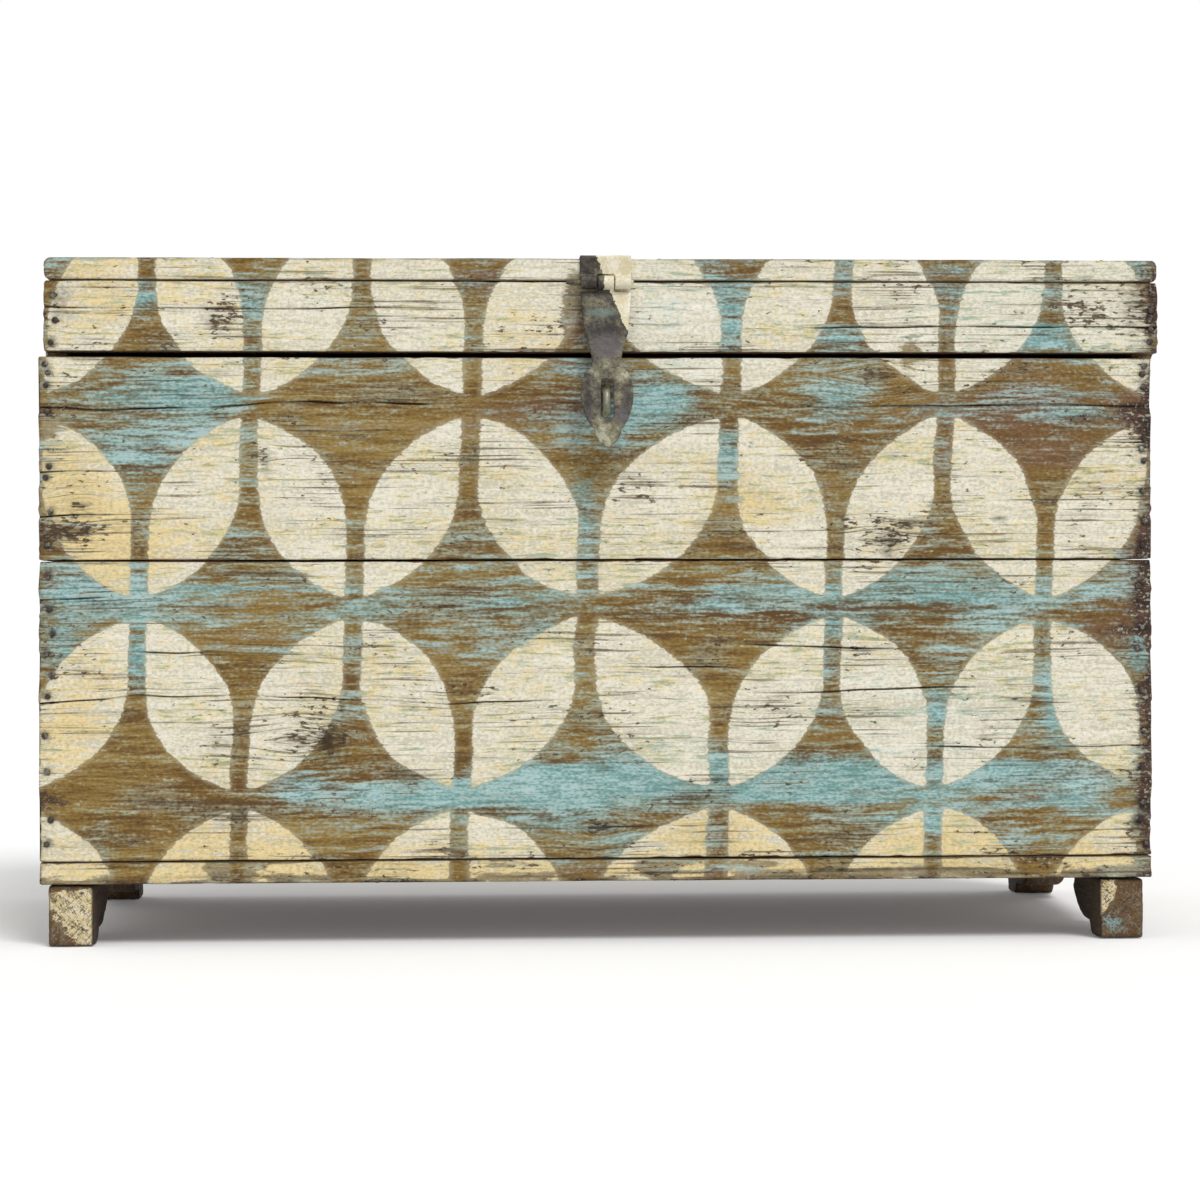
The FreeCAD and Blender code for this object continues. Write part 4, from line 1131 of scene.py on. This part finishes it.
# %% What the paint is told about a foot
FACES_OUT, FACES_IN = 0.6, -0.4
FOOT_GRAIN_APART = (40, 90)
DAB_SHORTER = 10

# A pale spot on the right foot, a rubbed edge, darkening by the ground and painted shade under
# the floor
PALE_SPOT, PALE_CREAM = ((472, 17, 14, 11, 1),), 0.86
RUBBED_EDGE, BY_GROUND, UNDER_FLOOR = (0.96, 0.75), (8, 0), (50, 56)

# How much of each mark a foot has everywhere, and how much each cause adds. The darkening of
# the inner sides and of the top under the floor is painted shade
FOOT_MARKS = {
    "worn": {"all": 0.25, "edge": 0.3, "cream": -0.3},
    "dark": {"all": 0.3, "cream": -0.3, "inner": 0.45, "ground": 0.2, "top": 0.35},
    "turquoise": {"all": -0.6, "pale": 0.9},
    "ruddy": {"all": 1.1}, "scuff": {"cream": 0.7}, "warm": {"all": 0.5},
}


def mark_foot(foot, name, places, normals):
    """Tell the paint what a foot's places are like."""
    x, z = places[:, 0], places[:, 2]
    outside = np.abs(normals[:, 1]) > FACES_OUT
    causes = {
        "all": np.ones(len(x)), "edge": ease(np.abs(normals).max(axis=1), *RUBBED_EDGE),
        "cream": foot_cream(name, x, z) * outside, "pale": spread(x, z, PALE_SPOT) * outside,
        # The inner sides and the top under the floor take painted shade
        "inner": np.sign(x) * normals[:, 0] < FACES_IN, "ground": ease(z, *BY_GROUND),
        "top": ease(z, *UNDER_FLOOR),
    }
    for label, shares in FOOT_MARKS.items():
        amount = sum(share * causes[cause] for cause, share in shares.items())
        set_attribute(foot.data, label, amount)
    set_attribute(foot.data, "smear", np.maximum(causes["cream"], PALE_CREAM * causes["pale"]))


def grain_foot(foot, places, normals, seed):
    """Grain from front to back, and on the front and back short slanting dabs of the brush."""
    corners = corner_vertices(foot.data)
    (x, y, z), facing = places[corners].T, np.abs(normals[corners])
    dabbed = facing[:, 1] > FACES_OUT
    along = np.where(dabbed, DAB_SHORTER * (x + z), y)
    across = np.where(facing[:, 0] > FACES_OUT, z, x - dabbed * z)
    along, across = along + seed * FOOT_GRAIN_APART[0], across + seed * FOOT_GRAIN_APART[1]
    set_uv(foot.data, "Grain", along * MM, across * MM)
    set_uv(foot.data, "Stencil", 0 * x, 0 * x)


print("marks on a foot:", ", ".join(FOOT_MARKS))

# %% Bracket feet
FOOT_CUBE, FOOT_RUBS = 1.5, 26
FOOT_SEED = 5.7

# Marks of the rasp and hollows: depth, and size along and across, in millimetres
RASP, RASP_LONG, RASP_WIDE = 0.5, 12, 3
HOLLOW, HOLLOW_LONG, HOLLOW_WIDE = 0.8, 19, 15

for name in ("foot_front_left", "foot_front_right", "foot_rear_left", "foot_rear_right"):
    foot = softened(name, FOOT_CUBE, FOOT_RUBS)
    places, normals = skin_points(foot.data)
    (x, y, z), seed = places.T, len(pieces) * FOOT_SEED
    rasped = RASP * field(y / RASP_LONG + seed, (z + x) / RASP_WIDE)
    rasped = rasped + HOLLOW * field(z / HOLLOW_LONG + seed, (x + y) / HOLLOW_WIDE)
    set_points(foot.data, places - normals * rasped[:, None])
    mark_foot(foot, name, places, normals)
    grain_foot(foot, places, normals, seed)
    dress(foot, name, paint)

# %% [markdown]
# ## Forged iron
#
# The hasp, staple and hinges are wrought iron: hammered, not ground, so the surface is lumpy and
# dull. Oil and handling left a brown-black skin. On the hasp the neck has a violet bloom and the
# shield an olive patina that is pale on its shoulders, and cream from the stencil covers the upper
# right. Places like these could be separate materials, but then each would end in a hard edge. The
# iron is made as the paint is, by masks over a dark skin, and each vertex says how much of each
# bloom it has. Patina is not a bare metal, so it reflects only half as one.

# %% Wrought iron with patina
# Each field: millimetres across, detail
IRON_FIELDS = {"cloud": (14, 3), "mottle": (4.5, 4), "grit": (1.5, 3)}
IRON_BLOOMS = ("patina", "violet", "verdigris", "smear")
IRON_MASKS = {
    "tone": ({"cloud": 0.4, "mottle": 0.4, "grit": 0.2, "patina": 0.25}, 0.36, 0.74, 1),
    "bloom": ({"mottle": 0.3, "grit": 0.2, "violet": 0.6}, 0.40, 0.75, 0.85),
    "green": ({"mottle": 0.35, "grit": 0.2, "verdigris": 0.6}, 0.40, 0.80, 0.75),
    "rust": ({"mottle": 0.7, "grit": 0.3}, 0.66, 0.72, 0.8),
    "cream": ({"smear": 1, "mottle": -0.5, "grit": -0.2}, 0.44, 0.58, 0.95),
    "lumps": ({"smear": 1, "cloud": 0.5, "grit": 0.5}, 1.42, 1.60, 0.8),
}
IRON_COATS = (("bloom", "#575152"), ("green", "#66776d"), ("rust", "#6e4227"),
              ("cream", "#ddd1ac"), ("lumps", "#f4eedb"))
IRON_ROUGH = {"From Min": 0.3, "From Max": 0.7, "To Min": 0.40, "To Max": 0.66}
IRON_SHINE = {"To Min": 0.45, "To Max": 0.0}
IRON_GRIT = 0.4
IRON_RELIEF = {"Strength": 0.6, "Distance": 0.8 * MM}


def wrought_iron(name, stops):
    """Hammered wrought iron: brown-black skin with blooms of patina, gritty and half metallic."""
    material, tree = new_material(name)
    add = partial(node, tree)
    place = add("ShaderNodeTexCoord").outputs["Object"]
    masks = {}
    for label, (size, detail) in IRON_FIELDS.items():
        settings = {"Vector": place, "Scale": 1 / (size * MM), "Detail": detail}
        masks[label] = add("ShaderNodeTexNoise", settings).outputs[0]
    for label in IRON_BLOOMS:
        masks[label] = add("ShaderNodeAttribute", attribute_name=label).outputs["Fac"]
    add_masks(add, masks, IRON_MASKS)
    skin = add("ShaderNodeValToRGB", {"Fac": masks["tone"]}, stops=stops)
    for label, hex_colour in IRON_COATS:
        skin = add("ShaderNodeMix", {"Factor": masks[label], "A": skin, "B": linear(hex_colour)},
                   data_type="RGBA")
    rough = add("ShaderNodeMapRange", {"Value": masks["mottle"], **IRON_ROUGH})
    shine = add("ShaderNodeMapRange", {"Value": masks["cream"], **IRON_SHINE})
    height = add("ShaderNodeMath", {0: masks["grit"], 1: IRON_GRIT, 2: masks["mottle"]},
                 operation="MULTIPLY_ADD")
    relief = add("ShaderNodeBump", {"Height": height, **IRON_RELIEF})
    shader = add("ShaderNodeBsdfPrincipled", {"Base Color": skin, "Metallic": shine,
                                              "Roughness": rough, "Normal": relief})
    add("ShaderNodeOutputMaterial", {"Surface": shader})
    return material


hasp_iron = wrought_iron("wrought_iron_with_patina", (
    (0.0, "#2b2622"), (0.3, "#4a443c"), (0.6, "#68634f"), (0.85, "#827f68"), (1.0, "#a3a28d")))
hinge_iron = wrought_iron("wrought_iron_blackened", (
    (0.0, "#211c19"), (0.4, "#3d3631"), (1.0, "#665c52")))
print(hasp_iron.name, hinge_iron.name)

# %% [markdown]
# ## Hasp, staple and hinges
#
# Each was forged from bar and shows the hammer. Dents could be a bump in the iron's material, but
# they catch the light along an edge, so they go into the shape. The blooms of the hasp could be
# painted in an image. As on the front of the trunk they are patches, in shares of its height.

# %% Blooms, cream and painted light on the hasp
STAPLE_POLISH = 0.9

# Cream on the hasp: a wedge to the right of a slanting line, and most of the barrel. Millimetres
# across, and shares of the strap's height.
WEDGE_START, WEDGE_SLOPE, WEDGE_TOP = 3, 62, 0.92
WEDGE_EDGE, WEDGE_FOOT = (-0.8, 0.8), (0.66, 0.69)
BARREL_EDGE, BARREL_FOOT = (-2.6, -2.2), 0.915
WOBBLE, WOBBLE_WIDE = 2, 2

# Blooms on the strap: millimetres across from its middle, share of its height, half width, half
# height, strength
STRAP_BLOOMS = {
    "patina": (
        # Two patina spots are painted light: the pale one 0.47 high in the middle is a highlight on
        # the point of the spear, and the dark one 0.28 high is shade round the slot
        (0, 0.2, 30, 0.3, 0.35), (-13, 0.445, 6, 0.03, 0.5), (13, 0.42, 7, 0.05, 0.3),
        (0, 0.47, 5, 0.03, 0.5), (0, 0.05, 8, 0.07, 0.5), (-10, 0.85, 9, 0.04, 0.3),
        (-17, 0.28, 4, 0.14, -0.5), (17, 0.2, 5, 0.12, -0.5), (0, 0.40, 4, 0.02, 0.4),
        (4, 0.70, 16, 0.04, -0.4), (0, 0.28, 6, 0.11, -1.3),
    ),
    "violet": (
        (0, 0.59, 18, 0.09, 1.0), (14, 0.19, 7, 0.06, 1.0), (-16, 0.2, 5, 0.14, 0.5),
        (16, 0.31, 4, 0.06, 0.4),
    ),
    "verdigris": (
        (-4, 0.785, 16, 0.03, 1.0), (-14, 0.44, 6, 0.03, 0.5), (-8, 0.3, 10, 0.1, 0.3),
    ),
}
hasp_low, hasp_high = [np.array(corner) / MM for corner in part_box("hasp_strap")]


def mark_iron(iron, name, places, cream_slot):
    """Keep the blooms and the cream of a forged piece with its vertices."""
    x, _, z = places.T
    across = x - (hasp_low[0] + hasp_high[0]) / 2
    height = (z - hasp_low[2]) / (hasp_high[2] - hasp_low[2])
    for bloom, spots in STRAP_BLOOMS.items():
        amount = spread(across, height, spots)
        if name == "hasp_staple" and bloom == "patina":
            amount = np.full(len(height), STAPLE_POLISH)
        blooming = name in ("hasp_strap", "hasp_staple")
        set_attribute(iron.data, bloom, amount if blooming else 0 * height)
    wobble = WOBBLE * (field(x / WOBBLE_WIDE, z / WOBBLE_WIDE) - 0.5)
    from_line = across - (WEDGE_START + (WEDGE_TOP - height) * WEDGE_SLOPE)
    wedge = ease(from_line + wobble, *WEDGE_EDGE) * ease(height, *WEDGE_FOOT)
    barrel = ease(across + wobble, *BARREL_EDGE) * (height > BARREL_FOOT)
    creamed = cream_slot and name != "hasp_staple"
    set_attribute(iron.data, "smear", np.maximum(wedge, barrel) if creamed else 0 * height)


print("blooms on the hasp:", ", ".join(STRAP_BLOOMS))

# %% Hasp, staple and hinges
# The size of the cubes in millimetres, and the slot
IRONWORK = {
    "hasp_strap": (0.75, "forged_hasp"), "hasp_leaf": (0.8, "forged_hasp"),
    "hasp_pin": (0.6, "forged_hasp"), "hasp_staple": (0.6, "forged_hasp"),
}
for side in ("left", "right"):
    IRONWORK[f"hinge_body_leaf_{side}"] = (0.9, "hinge_iron")
    IRONWORK[f"hinge_lid_leaf_{side}"] = (0.9, "hinge_iron")
    IRONWORK[f"hinge_pin_{side}"] = (0.8, "hinge_iron")
IRON_RUBS = 3

# Hammer dents: depth and size in millimetres
DENT, DENT_WIDE, DENT_ROW = 0.35, 6, 9
SMALL_DENT, SMALL_DENT_WIDE = 0.2, 2.5

for name, (cube, slot) in IRONWORK.items():
    iron = softened(name, cube, IRON_RUBS)
    places, normals = skin_points(iron.data)
    x, _, z = places.T
    dents = DENT * field(x / DENT_WIDE + DENT_ROW, z / DENT_WIDE)
    dents = dents + SMALL_DENT * field(x / SMALL_DENT_WIDE, z / SMALL_DENT_WIDE)
    set_points(iron.data, places - normals * dents[:, None])
    mark_iron(iron, name, places, slot == "forged_hasp")
    dress(iron, name, hasp_iron if slot == "forged_hasp" else hinge_iron)

# %% [markdown]
# ## Nails
#
# The boards are held by short hand-made nails with low domed heads, no two struck quite square.
# Copying a mesh by hand would work, but the nails repeat and only their tilt and size change, so
# a small Geometry Nodes tree puts one domed head on each nail's place, tilts it and scales it
# from a fixed seed, and makes the result real.

# %% Rusted nail iron
nail_iron = wrought_iron("rusted_nail_iron", (
    (0.0, "#2a2220"), (0.35, "#4b4039"), (0.6, "#77766c"), (0.9, "#9fb0a8")))
print(nail_iron.name, len(nail_iron.node_tree.nodes), "nodes")

# %% The tree that sets the heads
NAIL_INPUTS = {
    "Points": "Geometry", "Head Radius": "Float", "Head Rise": "Float", "Tilt": "Float",
    "Seed": "Int", "Iron": "Material",
}
DOME_FACETS = {"Segments": 12, "Rings": 6}

# A nail leans a little to the side, turns freely about itself, and differs a little in size
NAIL_LEANS = {"Min": (-1, -1, -9), "Max": (1, 1, 9)}
NAIL_SIZES = {"Min": 0.85, "Max": 1.05}


def nail_tree():
    """A tree that puts a tilted domed head on every point."""
    tree = bpy.data.node_groups.new("domed_nail_heads", "GeometryNodeTree")
    sockets = {}
    for label, kind in NAIL_INPUTS.items():
        socket = tree.interface.new_socket(label, in_out="INPUT", socket_type="NodeSocket" + kind)
        sockets[label] = socket.identifier
    tree.interface.new_socket("Nails", in_out="OUTPUT", socket_type="NodeSocketGeometry")
    add = partial(node, tree)
    given = add("NodeGroupInput").outputs
    dome = add("GeometryNodeMeshUVSphere", {**DOME_FACETS, "Radius": 1.0})
    radius = given["Head Radius"]
    size = add("ShaderNodeCombineXYZ", {0: radius, 1: radius, 2: given["Head Rise"]})
    head = add("GeometryNodeTransform", {"Geometry": dome.outputs["Mesh"], "Scale": size})
    facing = add("GeometryNodeInputNamedAttribute", {"Name": "facing"}, data_type="FLOAT_VECTOR")
    upright = add("FunctionNodeAlignRotationToVector", {"Vector": facing}, axis="Z")
    lean = add("FunctionNodeRandomValue", {**NAIL_LEANS, "Seed": given["Seed"]},
               data_type="FLOAT_VECTOR")
    lean = add("ShaderNodeVectorMath", {0: lean, "Scale": given["Tilt"]}, operation="SCALE")
    lean = add("FunctionNodeEulerToRotation", {0: lean})
    tilt = add("FunctionNodeRotateRotation", {"Rotation": upright, "Rotate By": lean},
               rotation_space="LOCAL")
    scale = add("FunctionNodeRandomValue", {**NAIL_SIZES, "Seed": given["Seed"]}, data_type="FLOAT")
    copies = add("GeometryNodeInstanceOnPoints", {"Points": given["Points"], "Instance": head,
                                                  "Rotation": tilt, "Scale": scale})
    real = add("GeometryNodeRealizeInstances", {"Geometry": copies})
    done = add("GeometryNodeSetMaterial", {"Geometry": real, "Material": given["Iron"]})
    add("NodeGroupOutput", {"Nails": done})
    return tree, sockets


heads, head_sockets = nail_tree()
print(heads.name, len(heads.nodes), "nodes")

# %% The heads on each body
NAIL_SUNK = 1.9 * MM
NAIL_HEAD = {
    "Head Radius": 2.9 * MM, "Head Rise": 1.0 * MM, "Tilt": 0.16, "Seed": 23, "Iron": nail_iron,
}
for body in ("chest", "lid"):
    groups = [name for name in nails if frame["nodes"][name]["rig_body"] == body]
    tops = np.concatenate([nails[name] for name in groups])
    facing = np.concatenate([[NAIL_FACING[name]] * len(nails[name]) for name in groups])
    base = bpy.data.meshes.new("nail_places_" + body)
    base.from_pydata((tops * MM - facing * NAIL_SUNK).tolist(), [], [])
    facings = base.attributes.new("facing", "FLOAT_VECTOR", "POINT").data
    facings.foreach_set("vector", facing.astype(np.float32).ravel())
    carrier = bpy.data.objects.new("nail_heads_" + body, base)
    bpy.context.scene.collection.objects.link(carrier)
    setter = carrier.modifiers.new("heads", "NODES")
    setter.node_group = heads
    for label, value in NAIL_HEAD.items():
        setter[head_sockets[label]] = value
    bpy.context.view_layer.update()
    seen = carrier.evaluated_get(bpy.context.evaluated_depsgraph_get())
    mesh = bpy.data.meshes.new_from_object(seen)
    carrier.modifiers.clear()
    carrier.data = mesh
    mesh.materials.clear()
    mesh.materials.append(nail_iron)
    mesh.polygons.foreach_set("material_index", np.zeros(len(mesh.polygons), int))
    mesh.polygons.foreach_set("use_smooth", np.ones(len(mesh.polygons), bool))
    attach(carrier, body)
    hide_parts(*groups)
    print(carrier.name, len(tops), "nails,", len(mesh.polygons), "faces")

# %% [markdown]
# ## Camera, floor and light
#
# The trunk stands on white paper by a large window, up to the right and behind the camera. A lamp
# of the window's size would do, but a sun as wide as the window looks from the trunk gives the
# same soft shadow at any distance. The white paper could be lit until it burns out, but then the
# trunk would burn out with it, so the floor is a little brighter to the camera than to the trunk.

# %% Camera
CAMERA_PLACE = Vector((-0.140, FRONT * MM - 2.8, 0.320))
CAMERA_TURN = (90 - 0.15, 0.13, -2.86)
CAMERA_LENS = 92.4
camera_data = bpy.data.cameras.new("camera")
camera_data.lens = CAMERA_LENS
camera = bpy.data.objects.new("camera", camera_data)
camera.location = CAMERA_PLACE
camera.rotation_euler = np.radians(CAMERA_TURN)
bpy.context.scene.collection.objects.link(camera)
bpy.context.scene.camera = camera
print("camera at", tuple(round(part, 3) for part in camera.location), "lens", CAMERA_LENS, "mm")

# %% White paper floor
FLOOR_REACH = 30
PAPER_LIT, PAPER_SEEN, PAPER_LIFT = "#dcdcdc", "#ffffff", 0.09
WHITE = (1, 1, 1, 1)


def looked_at(add):
    """1 where the eye looks, straight, in a mirror or through glass, and 0 for light on its way."""
    path = add("ShaderNodeLightPath").outputs
    seen = add("ShaderNodeMath", {0: path["Is Camera Ray"], 1: path["Is Glossy Ray"]},
               operation="MAXIMUM")
    return add("ShaderNodeMath", {0: seen, 1: path["Is Transmission Ray"]}, operation="MAXIMUM")


floor_corners = [(-FLOOR_REACH, -FLOOR_REACH, 0), (FLOOR_REACH, -FLOOR_REACH, 0),
                 (FLOOR_REACH, FLOOR_REACH, 0), (-FLOOR_REACH, FLOOR_REACH, 0)]
floor_mesh = bpy.data.meshes.new("floor")
floor_mesh.from_pydata(floor_corners, [], [(0, 1, 2, 3)])
floor = bpy.data.objects.new("floor", floor_mesh)
bpy.context.scene.collection.objects.link(floor)
backdrop, tree = new_material("white_paper_floor")
add = partial(node, tree)
seen = looked_at(add)
paper = add("ShaderNodeMix", {"Factor": seen, "A": linear(PAPER_LIT), "B": linear(PAPER_SEEN)},
            data_type="RGBA")
matte = add("ShaderNodeBsdfDiffuse", {"Color": paper})
lift = add("ShaderNodeMath", {0: seen, 1: PAPER_LIFT}, operation="MULTIPLY")
glow = add("ShaderNodeEmission", {"Color": WHITE, "Strength": lift})
add("ShaderNodeOutputMaterial", {"Surface": add("ShaderNodeAddShader", {0: matte, 1: glow})})
floor_mesh.materials.append(backdrop)
print(backdrop.name, 2 * FLOOR_REACH, "m wide")

# %% Light of the room and of the window
ROOM_LIT, ROOM_SEEN = 0.57, 1.0
WINDOW_STRENGTH = 0.50 * np.pi
WINDOW_WIDTH = 24
WINDOW_TOWARDS = Vector((-0.30, 0.62, -0.80))
world = bpy.data.worlds.new("studio")
world.use_nodes = True
world.node_tree.nodes.clear()
add = partial(node, world.node_tree)
strength = add("ShaderNodeMapRange",
               {"Value": looked_at(add), "To Min": ROOM_LIT, "To Max": ROOM_SEEN})
sky = add("ShaderNodeBackground", {"Color": WHITE, "Strength": strength})
add("ShaderNodeOutputWorld", {"Surface": sky})
bpy.context.scene.world = world

lamp = bpy.data.lights.new("soft_window", "SUN")
lamp.energy = WINDOW_STRENGTH
lamp.angle = np.radians(WINDOW_WIDTH)
light = bpy.data.objects.new("soft_window", lamp)
light.rotation_euler = WINDOW_TOWARDS.to_track_quat("-Z", "Y").to_euler()
bpy.context.scene.collection.objects.link(light)
bpy.context.scene.view_settings.view_transform = "Standard"
print(light.name, WINDOW_WIDTH, "degrees wide")
